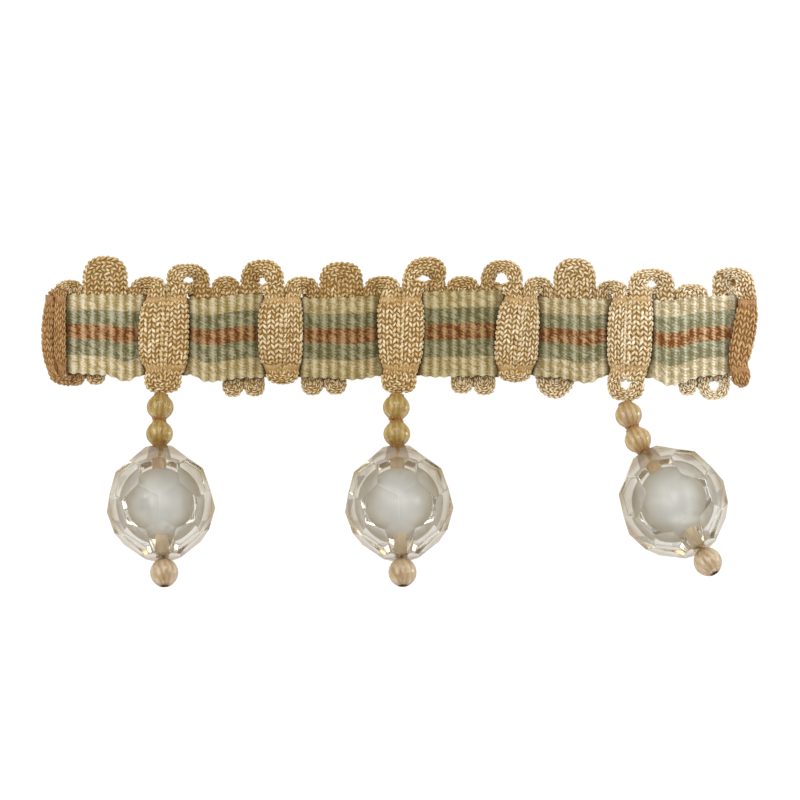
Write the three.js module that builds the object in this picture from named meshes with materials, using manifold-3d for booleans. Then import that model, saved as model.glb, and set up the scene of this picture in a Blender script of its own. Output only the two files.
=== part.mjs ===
import * as THREE from 'three';
import { mergeVertices } from 'three/addons/utils/BufferGeometryUtils.js';
import { ConvexGeometry } from 'three/addons/geometries/ConvexGeometry.js';
import Module from 'manifold-3d';

const wasm = await Module();
wasm.setup();

// Millimetres. The trim lies on its back: +X runs along the heading, +Y from the drops to the loops,
// +Z is up.

// Ribbon
const RIBBON_THICK = 1.0;
const RIBBON_HIGH_Z = 2.32;
const RIBBON_LOW_Z = 1.45;
const RIBBON_CROWN = 0.2;
const RIB_PITCH = 1.77;
const RIB_RISE = 0.2;
const DIP_RAMP = 2.2;

// Outline of the ribbon: its two edges at each tab and along each bulge between tabs
const RIBBON_EDGES = [
  { x: -64.4, top: 23.5, foot: 9.2 },
  { x: -60.5, top: 23.7, foot: 9.0 },
  { x: -54.4, top: 23.6, foot: 8.7 },
  { x: -50.6, top: 23.6, foot: 7.5 },
  { x: -47.6, top: 23.5, foot: 8.6 },
  { x: -43.2, top: 23.2, foot: 9.0 },
  { x: -38.6, top: 22.9, foot: 8.7 },
  { x: -35.6, top: 22.9, foot: 7.4 },
  { x: -28.0, top: 23.7, foot: 8.2 },
  { x: -21.6, top: 23.3, foot: 8.5 },
  { x: -14.0, top: 22.9, foot: 8.2 },
  { x: -9.0, top: 23.1, foot: 7.8 },
  { x: 0.3, top: 23.7, foot: 9.0 },
  { x: 7.0, top: 24.2, foot: 8.3 },
  { x: 17.0, top: 24.4, foot: 8.6 },
  { x: 22.1, top: 23.7, foot: 8.8 },
  { x: 29.0, top: 22.9, foot: 8.3 },
  { x: 35.0, top: 22.8, foot: 7.2 },
  { x: 38.6, top: 22.8, foot: 8.6 },
  { x: 42.7, top: 22.8, foot: 8.9 },
  { x: 46.6, top: 22.5, foot: 8.2 },
  { x: 50.0, top: 22.5, foot: 6.7 },
  { x: 57.0, top: 23.3, foot: 8.5 },
  { x: 64.2, top: 23.8, foot: 9.2 },
];

// Tabs, where the cord crosses in front of the ribbon: how far the ribbon stays down beneath each, and
// the tab's left and right edges at the upper pinch, at its middle and at the lower pinch
const TABS = [
  { x: -64.0, dip: 0.9 },
  { x: -43.2, dip: 2.3, top: [-46.7, -39.3], middle: [-48.1, -39.0], foot: [-46.9, -39.6] },
  { x: -21.6, dip: 1.9, top: [-24.9, -18.2], middle: [-26.0, -17.9], foot: [-24.8, -18.4] },
  { x: 0.3, dip: 2.2, top: [-3.5, 4.1], middle: [-3.8, 4.5], foot: [-2.9, 3.5] },
  { x: 22.1, dip: 2.1, top: [19.6, 25.7], middle: [18.0, 25.8], foot: [18.4, 25.1] },
  { x: 42.7, dip: 2.4, top: [39.6, 46.7], middle: [38.7, 46.8], foot: [39.1, 46.0] },
  { x: 64.2, dip: 1.1 },
];

// Cord
const TOP_LINE = 23.2;
const FOOT_LINE = 9.6;
const FRONT_LEVELS = [9.6, 11.2, 13.6, 16.4, 19.2, 21.6, 23.2];
const BACK_LEVELS = [9.6, 16.4, 23.2];
const BELLY_POWER = 3.2;
const BACK_Z = 0.75;
const BACK_THICK = 1.5;
const FRONT_LINE_Z = 3.45;
const FRONT_MIDDLE_Z = 3.95;
const PINCHED_THICK = 1.35;
const CORD_THICK = 1.6;
const STRAND_GAP = 0.22;
const CLOSED_EYE = 0.12;
const EYE_CLOSING = 0.3;
const LOOP_FULLNESS = 2.5;
const ARC_STEPS = 8;
const LEVEL_SHARE = 0.12;

// Loops above the ribbon, low and tall by turns: middle, half of the outer width, level where the arc
// begins, outer top, sideways lean of the top, and the eyelet's width and height where one stays open
const HEAD_LOOPS = [
  { x: -61.4, half: 2.6, base: 24.1, tip: 26.3, lean: 0.5 },
  { x: -54.45, half: 4.1, base: 26.2, tip: 30.7 },
  { x: -46.6, half: 3.4, base: 24.2, tip: 26.9, lean: 0.4 },
  { x: -39.05, half: 3.95, base: 26.0, tip: 29.3, lean: -0.2, eyeWide: 2.0, eyeHigh: 0.9 },
  { x: -32.1, half: 2.65, base: 24.2, tip: 27.0 },
  { x: -25.3, half: 4.0, base: 25.7, tip: 30.0, eyeWide: 1.4, eyeHigh: 1.1 },
  { x: -17.95, half: 3.1, base: 24.2, tip: 26.9 },
  { x: -10.7, half: 3.95, base: 25.9, tip: 29.6 },
  { x: -3.1, half: 3.35, base: 24.2, tip: 27.0 },
  { x: 4.6, half: 3.95, base: 26.3, tip: 30.5, lean: 0.7, eyeWide: 2.5, eyeHigh: 0.9 },
  { x: 11.85, half: 3.05, base: 24.4, tip: 27.0 },
  { x: 19.0, half: 3.85, base: 25.9, tip: 30.0, lean: 0.2, eyeWide: 2.3, eyeHigh: 1.8 },
  { x: 25.8, half: 2.75, base: 24.2, tip: 26.9 },
  { x: 32.6, half: 3.85, base: 26.2, tip: 30.3 },
  { x: 39.5, half: 2.85, base: 23.9, tip: 26.2 },
  { x: 46.8, half: 4.25, base: 25.2, tip: 28.4, eyeWide: 1.8, eyeHigh: 1.0 },
  { x: 54.25, half: 2.9, base: 23.7, tip: 25.6 },
  { x: 62.0, half: 3.85, base: 25.4, tip: 28.6, lean: -0.3, eyeWide: 1.0, eyeHigh: 1.1 },
];

// Loops below the ribbon, given in the same way: lobes between tabs, and a drop loop or low scallop
// under each tab
const FOOT_LOOPS = [
  { x: -59.95, half: 1.75, base: 8.9, tip: 6.7 },
  { x: -56.2, half: 1.8, base: 8.9, tip: 6.9 },
  { x: -43.7, half: 3.4, base: 8.2, tip: 5.4, full: 3.2 },
  { x: -30.8, half: 1.9, base: 7.0, tip: 4.7, full: 2.8 },
  { x: -26.8, half: 1.9, base: 7.0, tip: 4.8, full: 2.8 },
  { x: -21.6, half: 3.05, base: 9.2, tip: 7.0 },
  { x: -16.1, half: 2.05, base: 7.3, tip: 5.0 },
  { x: -11.8, half: 2.05, base: 7.3, tip: 5.1 },
  { x: 0.0, half: 3.25, base: 8.2, tip: 5.4, full: 3.2 },
  { x: 11.65, half: 2.0, base: 7.4, tip: 5.3, full: 2.8 },
  { x: 15.85, half: 2.0, base: 7.2, tip: 5.0 },
  { x: 21.5, half: 3.0, base: 9.2, tip: 7.4 },
  { x: 28.9, half: 3.45, base: 7.5, tip: 4.4, full: 1.8 },
  { x: 34.0, half: 1.35, base: 10.2, tip: 8.8 },
  { x: 42.0, half: 3.4, base: 7.4, tip: 4.0, full: 3.0, eyeWide: 1.8, eyeHigh: 1.4 },
  { x: 53.5, half: 1.7, base: 7.2, tip: 4.9, full: 2.8 },
  { x: 58.4, half: 2.95, base: 7.3, tip: 4.1, eyeWide: 1.9, eyeHigh: 1.6 },
];

// Sealed ends, from the cut to the point where the clean cord begins
const LEFT_SEALED = [
  { x: -64.7, y: 22.4, z: 3.5, wide: 1.6, thick: 1.3 },
  { x: -64.85, y: 20.6, z: 3.7, wide: 1.9, thick: 1.5 },
  { x: -65.15, y: 16.4, z: 3.9, wide: 2.1, thick: 1.6 },
  { x: -64.95, y: 12.6, z: 3.7, wide: 2.0, thick: 1.5 },
  { x: -64.4, y: 9.9, z: 3.55, wide: 1.7, thick: 1.4 },
  { x: -64.0, y: 8.9, z: 3.5, wide: 1.6, thick: 1.4 },
  { x: -63.2, y: 8.2, z: 3.45, wide: 1.6, thick: 1.4 },
  { x: -62.5, y: 8.8, z: 3.55, wide: 1.5, thick: 1.4 },
  { x: -62.35, y: 9.8, z: 3.65, wide: 1.6, thick: 1.4 },
  { x: -62.75, y: 12.4, z: 3.8, wide: 2.1, thick: 1.5 },
  { x: -62.8, y: 16.4, z: 3.9, wide: 2.25, thick: 1.6 },
  { x: -62.8, y: 20.0, z: 3.7, wide: 2.1, thick: 1.5 },
  { x: -62.7, y: 22.1, z: 3.5, wide: 2.1, thick: 1.35 },
];
const RIGHT_SEALED = [
  { x: 64.5, y: 22.1, z: 3.5, wide: 3.5, thick: 1.35 },
  { x: 64.4, y: 20.0, z: 3.7, wide: 4.0, thick: 1.5 },
  { x: 63.9, y: 16.4, z: 3.9, wide: 4.2, thick: 1.6 },
  { x: 63.1, y: 12.4, z: 3.9, wide: 4.0, thick: 1.5 },
  { x: 62.9, y: 10.5, z: 3.8, wide: 3.4, thick: 1.35 },
  { x: 63.2, y: 9.2, z: 3.7, wide: 3.7, thick: 1.4 },
  { x: 63.4, y: 7.8, z: 3.3, wide: 3.4, thick: 1.5 },
  { x: 63.9, y: 6.5, z: 2.6, wide: 1.5, thick: 1.2 },
];
const SEAL_START = 22.7;

// Drops
const THREAD = 0.6;
const THREAD_SINK = 1.6;
const NEEDLE_HOLE = 1.3;
const SMALL_BORE = 1.7;
const LARGE_BORE = 2.4;
const SMALL_RADIUS = 2.5;
const SMALL_HALF_LENGTH = 2.45;
const END_RADIUS = 2.6;
const END_HALF_LENGTH = 2.75;
const FLUTES = 12;
const FLUTE_DEPTH = 0.16;
const PEARL_RADIUS = 5.2;
const PEARL_CLEARANCE = 0.45;
const CRYSTAL_RADIUS = 9.2;
const CRYSTAL_STRETCH = 1.12;
const CRYSTAL_CAP = 1.0;
const FACETS_ROUND = 8;
const WAIST_LATITUDE = THREE.MathUtils.degToRad(18);
const SHOULDER_LATITUDE = THREE.MathUtils.degToRad(52);

// Where each drop's beads lie in plan, and the foot loop that carries the drop
const DROPS = [
  {
    loop: 2,
    upper: { x: -44.2, y: 2.75 },
    lower: { x: -44.3, y: -2.15 },
    crystal: { x: -44.0, y: -15.0 },
    end: { x: -43.3, y: -27.75 },
  },
  {
    loop: 8,
    upper: { x: -0.5, y: 2.7 },
    lower: { x: -0.4, y: -2.2 },
    crystal: { x: 0.0, y: -15.0 },
    end: { x: 0.65, y: -27.7 },
  },
  {
    loop: 14,
    upper: { x: 42.5, y: 1.3 },
    lower: { x: 44.2, y: -3.3 },
    crystal: { x: 50.6, y: -14.7 },
    end: { x: 56.95, y: -25.75 },
  },
];

const root = new THREE.Group();

function add(name, geometry, color) {
  const material = new THREE.MeshStandardMaterial({ color, roughness: 0.6 });
  const mesh = new THREE.Mesh(geometry, material);
  mesh.name = name;
  root.add(mesh);
}

function toManifold(geometry) {
  const bare = new THREE.BufferGeometry();
  bare.setAttribute('position', geometry.getAttribute('position'));
  bare.setIndex(geometry.index);
  const welded = mergeVertices(bare, 1e-4);
  return new wasm.Manifold(
    new wasm.Mesh({
      numProp: 3,
      vertProperties: new Float32Array(welded.getAttribute('position').array),
      triVerts: new Uint32Array(welded.index.array),
    }),
  );
}

function toGeometry(solid) {
  const mesh = solid.getMesh();
  const geometry = new THREE.BufferGeometry();
  geometry.setAttribute('position', new THREE.BufferAttribute(mesh.vertProperties, 3));
  geometry.setIndex(new THREE.BufferAttribute(mesh.triVerts, 1));
  return geometry;
}

function subtract(geometry, cutters) {
  let solid = toManifold(geometry);
  for (const cutter of cutters) {
    solid = solid.subtract(toManifold(cutter));
  }
  return toGeometry(solid);
}

// Smooth step along half a cosine wave
function ease(value) {
  const share = THREE.MathUtils.clamp(value, 0, 1);
  return 0.5 - 0.5 * Math.cos(Math.PI * share);
}

// Ribbon: how far the cloth is up from its dip under the nearest tab, and how full it bulges between two tabs
function ribbonHeight(x) {
  let share = 1;
  for (const tab of TABS) {
    share = Math.min(share, ease((Math.abs(x - tab.x) - tab.dip) / DIP_RAMP));
  }
  let bulge = 0;
  for (let i = 0; i + 1 < TABS.length; i += 1) {
    const across = (x - TABS[i].x) / (TABS[i + 1].x - TABS[i].x);
    if (across > 0 && across < 1) {
      bulge = Math.sin(Math.PI * across) ** 2;
    }
  }
  return RIBBON_LOW_Z + (RIBBON_HIGH_Z - RIBBON_LOW_Z) * share + RIBBON_CROWN * bulge;
}

function ribbonEdge(x, side) {
  let i = 0;
  while (i + 2 < RIBBON_EDGES.length && x > RIBBON_EDGES[i + 1].x) {
    i += 1;
  }
  const from = RIBBON_EDGES[i];
  const to = RIBBON_EDGES[i + 1];
  return THREE.MathUtils.lerp(from[side], to[side], ease((x - from.x) / (to.x - from.x)));
}

// Places along the ribbon, three to each rib and evenly spaced along the cloth
function ribbonStations() {
  const start = RIBBON_EDGES[0].x;
  const end = RIBBON_EDGES[RIBBON_EDGES.length - 1].x;
  const step = 0.02;
  const spacing = RIB_PITCH / 3;
  const stations = [start];
  let run = 0;
  for (let x = start; x < end; x += step) {
    run += Math.hypot(step, ribbonHeight(x + step) - ribbonHeight(x));
    if (run >= spacing) {
      stations.push(x + step);
      run -= spacing;
    }
  }
  return stations;
}

function buildRibbon() {
  const stations = ribbonStations();
  const rows = 2;
  const positions = [];
  const indices = [];
  for (let i = 0; i < stations.length; i += 1) {
    const x = stations[i];
    const slope = (ribbonHeight(x + 0.05) - ribbonHeight(x - 0.05)) / 0.1;
    const normal = new THREE.Vector3(-slope, 0, 1).normalize();
    const rise = i % 3 === 0 ? 0 : RIB_RISE;
    const top = ribbonEdge(x, 'top');
    const foot = ribbonEdge(x, 'foot');
    for (const offset of [RIBBON_THICK / 2 + rise, -RIBBON_THICK / 2]) {
      for (let row = 0; row < rows; row += 1) {
        const y = THREE.MathUtils.lerp(foot, top, row / (rows - 1));
        positions.push(x + normal.x * offset, y, ribbonHeight(x) + normal.z * offset);
      }
    }
  }
  const around = [0, 1, 3, 2];
  const ring = around.length;
  for (let i = 0; i + 1 < stations.length; i += 1) {
    for (let k = 0; k < ring; k += 1) {
      const a = i * ring + around[k];
      const b = i * ring + around[(k + 1) % ring];
      indices.push(a, a + ring, b, b, a + ring, b + ring);
    }
  }
  const last = (stations.length - 1) * ring;
  for (let row = 0; row + 1 < rows; row += 1) {
    const upper = row;
    const lower = row + rows;
    indices.push(upper, upper + 1, lower, lower, upper + 1, lower + 1);
    indices.push(last + upper, last + lower, last + upper + 1);
    indices.push(last + lower, last + lower + 1, last + upper + 1);
  }
  const geometry = new THREE.BufferGeometry();
  geometry.setAttribute('position', new THREE.Float32BufferAttribute(positions, 3));
  geometry.setIndex(indices);
  return geometry;
}

// Flattened section of the cord, as shares of its width and thickness
const CORD_SECTION = [
  { across: -0.27, up: -0.5 },
  { across: 0.27, up: -0.5 },
  { across: 0.5, up: -0.2 },
  { across: 0.5, up: 0.2 },
  { across: 0.27, up: 0.5 },
  { across: -0.27, up: 0.5 },
  { across: -0.5, up: 0.2 },
  { across: -0.5, up: -0.2 },
];

// Round section of the sewing thread
const ROUND_SECTION = [0, 1, 2, 3, 4, 5].map((k) => ({
  across: 0.5 * Math.cos((Math.PI * k) / 3),
  up: 0.5 * Math.sin((Math.PI * k) / 3),
}));

function loft(rings, section) {
  const centres = rings.map((ring) => new THREE.Vector3(ring.x, ring.y, ring.z));
  const positions = [];
  const indices = [];
  const sides = section.length;
  rings.forEach((ring, i) => {
    const before = centres[Math.max(i - 1, 0)];
    const after = centres[Math.min(i + 1, rings.length - 1)];
    const along = after.clone().sub(before).normalize();
    const across = ring.across ?? new THREE.Vector3(-along.y, along.x, 0).normalize();
    const up = ring.across ? new THREE.Vector3(0, 0, 1) : along.clone().cross(across);
    for (const corner of section) {
      const point = centres[i]
        .clone()
        .addScaledVector(across, corner.across * ring.wide)
        .addScaledVector(up, corner.up * ring.thick);
      positions.push(point.x, point.y, point.z);
    }
  });
  for (let i = 0; i + 1 < rings.length; i += 1) {
    for (let k = 0; k < sides; k += 1) {
      const a = i * sides + k;
      const b = i * sides + ((k + 1) % sides);
      indices.push(a, b, a + sides, b, b + sides, a + sides);
    }
  }
  const last = (rings.length - 1) * sides;
  for (let k = 1; k + 1 < sides; k += 1) {
    indices.push(0, k + 1, k);
    indices.push(last, last + k, last + k + 1);
  }
  const geometry = new THREE.BufferGeometry();
  geometry.setAttribute('position', new THREE.Float32BufferAttribute(positions, 3));
  geometry.setIndex(indices);
  return geometry;
}

// Cord: strands are counted from the left; two of each six cross in front of the ribbon
function isFront(strand) {
  return strand % 6 === 0 || strand % 6 === 5;
}

function headLoop(strand) {
  return HEAD_LOOPS[Math.floor(strand / 2)];
}

function footLoop(strand) {
  return FOOT_LOOPS[Math.floor((strand - 1) / 2)];
}

// A ring of the cord between two points of its edges in plan
function edgeRing(edge, otherEdge, z, thick) {
  const across = new THREE.Vector3(edge[0] - otherEdge[0], edge[1] - otherEdge[1], 0);
  const wide = across.length();
  return {
    x: (edge[0] + otherEdge[0]) / 2,
    y: (edge[1] + otherEdge[1]) / 2,
    z,
    wide,
    thick,
    across: across.divideScalar(wide),
  };
}

function levelZ(strand) {
  return isFront(strand) ? FRONT_LINE_Z : BACK_Z;
}

function levelThick(strand) {
  return isFront(strand) ? PINCHED_THICK : BACK_THICK;
}

// Left and right edges of a strand at the lower line, at its middle and at the upper line
function strandEdges(strand) {
  const left = strand % 2 === 1;
  const head = headLoop(strand);
  const foot = footLoop(strand);
  if (!isFront(strand)) {
    const low = left ? [foot.x - foot.half, foot.x - CLOSED_EYE] : [foot.x + CLOSED_EYE, foot.x + foot.half];
    const high = left ? [head.x + CLOSED_EYE, head.x + head.half] : [head.x - head.half, head.x - CLOSED_EYE];
    return { foot: low, middle: [(low[0] + high[0]) / 2, (low[1] + high[1]) / 2], top: high };
  }
  const tab = TABS[Math.floor((strand + 1) / 6)];
  const leftHead = headLoop(left ? strand : strand - 1);
  const rightHead = headLoop(left ? strand + 1 : strand);
  const topSeam = (leftHead.x + leftHead.half + rightHead.x - rightHead.half) / 2;
  const middleSeam = (topSeam + foot.x) / 2;
  const halve = ([from, to], seam) => (left ? [from, seam - STRAND_GAP / 2] : [seam + STRAND_GAP / 2, to]);
  return {
    foot: halve(tab.foot, foot.x),
    middle: halve(tab.middle, middleSeam),
    top: halve(tab.top, topSeam),
  };
}

// One strand's rings between the loop below it and the loop above it, from the foot upwards
function strandRings(strand) {
  const front = isFront(strand);
  const edges = strandEdges(strand);
  const lowest = footLoop(strand).base + 2 * EYE_CLOSING;
  const highest = headLoop(strand).base - 2 * EYE_CLOSING;
  const levels = (front ? FRONT_LEVELS : BACK_LEVELS).filter((y) => y > lowest && y < highest);
  return levels.map((y) => {
    const share = (y - FOOT_LINE) / (TOP_LINE - FOOT_LINE);
    const belly = 1 - Math.abs(2 * share - 1) ** BELLY_POWER;
    const [from, to] = [0, 1].map((k) => {
      const bow = edges.middle[k] - (edges.foot[k] + edges.top[k]) / 2;
      return [THREE.MathUtils.lerp(edges.foot[k], edges.top[k], share) + bow * belly, y];
    });
    const z = front ? THREE.MathUtils.lerp(FRONT_LINE_Z, FRONT_MIDDLE_Z, belly) : BACK_Z;
    const thick = front ? THREE.MathUtils.lerp(PINCHED_THICK, CORD_THICK, belly) : BACK_THICK;
    return strand % 2 === 0 ? edgeRing(from, to, z, thick) : edgeRing(to, from, z, thick);
  });
}

function fuller(value, full) {
  return Math.sign(value) * Math.abs(value) ** (2 / full);
}

// Outer and inner edges of a loop, from its left leg over the tip to its right leg; the legs close below
// an eyelet
function loopEdges(loop) {
  const full = loop.full ?? LOOP_FULLNESS;
  const eyeHalf = loop.eyeWide === undefined ? CLOSED_EYE : loop.eyeWide / 2;
  const eyeHigh = loop.eyeHigh ?? CLOSED_EYE;
  const reach = loop.tip - loop.base;
  const edges = [];
  for (let i = 0; i <= ARC_STEPS; i += 1) {
    const turn = (Math.PI * i) / ARC_STEPS;
    const across = -Math.cos(turn);
    const out = Math.sin(turn);
    const outer = fuller(out, full);
    const outerX = loop.x + loop.half * fuller(across, full) + (loop.lean ?? 0) * outer;
    edges.push({
      outer: [outerX, loop.base + reach * outer],
      inner: [loop.x + eyeHalf * across, loop.base + Math.sign(reach) * eyeHigh * out],
    });
  }
  if (loop.eyeWide !== undefined) {
    const level = loop.base - Math.sign(reach) * EYE_CLOSING;
    const leg = (side) => ({
      outer: [loop.x + side * loop.half, level],
      inner: [loop.x + side * CLOSED_EYE, level],
    });
    edges.unshift(leg(-1));
    edges.push(leg(1));
  }
  return edges;
}

// Rings of the loop above the ribbon that joins a strand to the next one
function headRings(strand) {
  const edges = loopEdges(headLoop(strand));
  return edges.map(({ outer, inner }, i) => {
    const place = i / (edges.length - 1);
    const share = ease((place - LEVEL_SHARE) / (1 - 2 * LEVEL_SHARE));
    const z = THREE.MathUtils.lerp(levelZ(strand), levelZ(strand + 1), share);
    const thick = THREE.MathUtils.lerp(levelThick(strand), levelThick(strand + 1), share);
    return edgeRing(outer, inner, z, THREE.MathUtils.lerp(thick, BACK_THICK, Math.sin(Math.PI * place)));
  });
}

// Rings of the loop below the ribbon that joins a strand to the next one
function footRings(strand) {
  const edges = loopEdges(footLoop(strand));
  return edges.map(({ outer, inner }) => edgeRing(inner, outer, levelZ(strand), levelThick(strand)));
}

// Square end of the clean cord beside a sealed end
function sealRing(sealed, side) {
  const half = (side * sealed.wide) / 2;
  return edgeRing([sealed.x + half, SEAL_START], [sealed.x - half, SEAL_START], sealed.z, sealed.thick);
}

function gimpRings() {
  const lastStrand = 2 * HEAD_LOOPS.length - 1;
  const rings = [sealRing(LEFT_SEALED[LEFT_SEALED.length - 1], -1)];
  for (let strand = 0; strand < lastStrand; strand += 2) {
    rings.push(...headRings(strand));
    if (strand + 1 < lastStrand) {
      rings.push(...strandRings(strand + 1).reverse());
      rings.push(...footRings(strand + 1));
      rings.push(...strandRings(strand + 2));
    }
  }
  rings.push(sealRing(RIGHT_SEALED[0], 1));
  return rings;
}

// Crystal: four staggered rings of facets and two caps, each a plane that touches a ball stretched along
// its axis
function planeCorner(planes) {
  const [a, b, c] = planes.map((plane) => plane.normal);
  const corner = b.clone().cross(c).multiplyScalar(planes[0].reach);
  corner.addScaledVector(c.clone().cross(a), planes[1].reach);
  corner.addScaledVector(a.clone().cross(b), planes[2].reach);
  return corner.divideScalar(a.dot(b.clone().cross(c)));
}

function facet(latitude, place) {
  const turn = (2 * Math.PI * place) / FACETS_ROUND;
  const flat = Math.cos(latitude);
  const normal = new THREE.Vector3(flat * Math.cos(turn), flat * Math.sin(turn), Math.sin(latitude));
  return { normal, reach: CRYSTAL_RADIUS };
}

function crystalCorners() {
  const corners = [];
  for (const pole of [1, -1]) {
    const shift = pole > 0 ? 0 : 0.5;
    const cap = { normal: new THREE.Vector3(0, 0, pole), reach: CRYSTAL_RADIUS * CRYSTAL_CAP };
    for (let k = 0; k < FACETS_ROUND; k += 1) {
      const place = k + shift;
      const waist = facet(pole * WAIST_LATITUDE, place);
      const nextWaist = facet(pole * WAIST_LATITUDE, place + 1);
      const opposite = facet(-pole * WAIST_LATITUDE, place + 0.5);
      const shoulder = facet(pole * SHOULDER_LATITUDE, place + 0.5);
      const lastShoulder = facet(pole * SHOULDER_LATITUDE, place - 0.5);
      corners.push(planeCorner([cap, lastShoulder, shoulder]));
      corners.push(planeCorner([lastShoulder, shoulder, waist]));
      corners.push(planeCorner([shoulder, waist, nextWaist]));
      corners.push(planeCorner([waist, nextWaist, opposite]));
    }
  }
  for (const corner of corners) {
    corner.z *= CRYSTAL_STRETCH;
  }
  return corners;
}

// Tilt at which one waist facet lies flat on the table, and the crystal's height then
const REST_TILT = Math.atan(Math.tan(WAIST_LATITUDE) / CRYSTAL_STRETCH);
const REST_HEIGHT =
  CRYSTAL_RADIUS / Math.hypot(Math.cos(WAIST_LATITUDE), Math.sin(WAIST_LATITUDE) / CRYSTAL_STRETCH);

function rod(radius, length, sides) {
  return new THREE.CylinderGeometry(radius, radius, length, sides).rotateX(Math.PI / 2);
}

// Bored ball, turned about its own Z axis, with flutes around it
function boredBall(radius, halfLength, bore, steps, around, flutes, depth) {
  const reach = Math.acos(bore / 2 / radius);
  const profile = [];
  for (let i = 0; i <= steps; i += 1) {
    const latitude = THREE.MathUtils.lerp(-reach, reach, i / steps);
    profile.push(new THREE.Vector2(radius * Math.cos(latitude), halfLength * Math.sin(latitude)));
  }
  profile.push(profile[0].clone());
  const geometry = new THREE.LatheGeometry(profile, around).rotateX(Math.PI / 2);
  const position = geometry.getAttribute('position');
  for (let i = 0; i < position.count; i += 1) {
    const x = position.getX(i);
    const y = position.getY(i);
    const out = Math.hypot(x, y);
    const belly = Math.max(out - bore / 2, 0) / (radius - bore / 2);
    const groove = 0.5 - 0.5 * Math.cos(flutes * Math.atan2(y, x));
    const scale = 1 - (depth * belly * groove) / out;
    position.setX(i, x * scale);
    position.setY(i, y * scale);
  }
  return geometry;
}

// Turns a shape's Z axis onto a direction, with its X axis kept as low as it can be
function pose(direction, place) {
  const axis = direction.clone().normalize();
  const low = new THREE.Vector3(0, 0, -1).addScaledVector(axis, axis.z).normalize();
  const side = axis.clone().cross(low);
  return new THREE.Matrix4().makeBasis(low, side, axis).setPosition(place);
}

function buildThread(points) {
  const rings = points.map((point) => ({ x: point.x, y: point.y, z: point.z, wide: THREAD, thick: THREAD }));
  return loft(rings, ROUND_SECTION);
}

// A drop's bead centres in space: the string is straight and level with the crystal's tilt
function dropPlaces(drop) {
  const climb = Math.tan(REST_TILT);
  const plan = (a, b) => Math.hypot(a.x - b.x, a.y - b.y);
  const toLower = plan(drop.crystal, drop.lower);
  const toUpper = toLower + plan(drop.lower, drop.upper);
  const at = (spot, run) => new THREE.Vector3(spot.x, spot.y, REST_HEIGHT + climb * run);
  const loop = FOOT_LOOPS[drop.loop];
  return {
    loop: new THREE.Vector3(loop.x, loop.tip, FRONT_LINE_Z),
    upper: at(drop.upper, -toUpper),
    lower: at(drop.lower, -toLower),
    crystal: at(drop.crystal, 0),
    end: at(drop.end, plan(drop.crystal, drop.end)),
  };
}

const needleHoles = [];
const smallBead = boredBall(SMALL_RADIUS, SMALL_HALF_LENGTH, SMALL_BORE, 6, 2 * FLUTES, FLUTES, FLUTE_DEPTH);
const endBead = boredBall(END_RADIUS, END_HALF_LENGTH, SMALL_BORE, 6, 2 * FLUTES, FLUTES, FLUTE_DEPTH);
const pearl = boredBall(PEARL_RADIUS, PEARL_RADIUS, LARGE_BORE, 8, 20, 0, 0);
const pearlRoom = new THREE.SphereGeometry(PEARL_RADIUS + PEARL_CLEARANCE, 20, 12);
const crystalBore = rod(LARGE_BORE / 2, 4 * CRYSTAL_RADIUS, 12);
const crystal = subtract(mergeVertices(new ConvexGeometry(crystalCorners())), [pearlRoom, crystalBore]);

DROPS.forEach((drop, i) => {
  const number = i + 1;
  const place = dropPlaces(drop);
  const inward = place.loop.clone().sub(place.upper).normalize();
  const sunk = place.loop.clone().addScaledVector(inward, THREAD_SINK - 0.4);
  const hole = rod(NEEDLE_HOLE / 2, 2 * THREAD_SINK, 10);
  needleHoles.push(hole.applyMatrix4(pose(inward, place.loop)));
  const crystalAxis = place.lower.clone().sub(place.end);
  crystalAxis.z = -Math.tan(REST_TILT) * Math.hypot(crystalAxis.x, crystalAxis.y);
  const upperAxis = place.loop.clone().sub(place.lower);
  const lowerAxis = place.upper.clone().sub(place.crystal);
  const tail = place.end.clone().addScaledVector(crystalAxis.clone().normalize(), -1);
  const line = [sunk, place.upper, place.lower, place.crystal, place.end, tail];
  add(`thread_${number}`, buildThread(line), 0x9a7a4a);
  add(`bead_upper_${number}`, smallBead.clone().applyMatrix4(pose(upperAxis, place.upper)), 0xb8995c);
  add(`bead_lower_${number}`, smallBead.clone().applyMatrix4(pose(lowerAxis, place.lower)), 0xb8995c);
  add(`crystal_${number}`, crystal.clone().applyMatrix4(pose(crystalAxis, place.crystal)), 0xe6dfcf);
  add(`pearl_${number}`, pearl.clone().applyMatrix4(pose(crystalAxis, place.crystal)), 0xcfcbc0);
  add(`bead_end_${number}`, endBead.clone().applyMatrix4(pose(crystalAxis, place.end)), 0xc4a678);
});

add('ribbon', buildRibbon(), 0xb9a27a);
add('gimp', subtract(loft(gimpRings(), CORD_SECTION), needleHoles), 0xc8a871);
add('sealed_end_left', loft(LEFT_SEALED, CORD_SECTION), 0x9a7145);
add('sealed_end_right', loft(RIGHT_SEALED, CORD_SECTION), 0x9a7145);

export default root;
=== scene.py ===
import math
from typing import NamedTuple

import bmesh
import bpy
import numpy as np
from mathutils import Matrix, Vector


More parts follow.
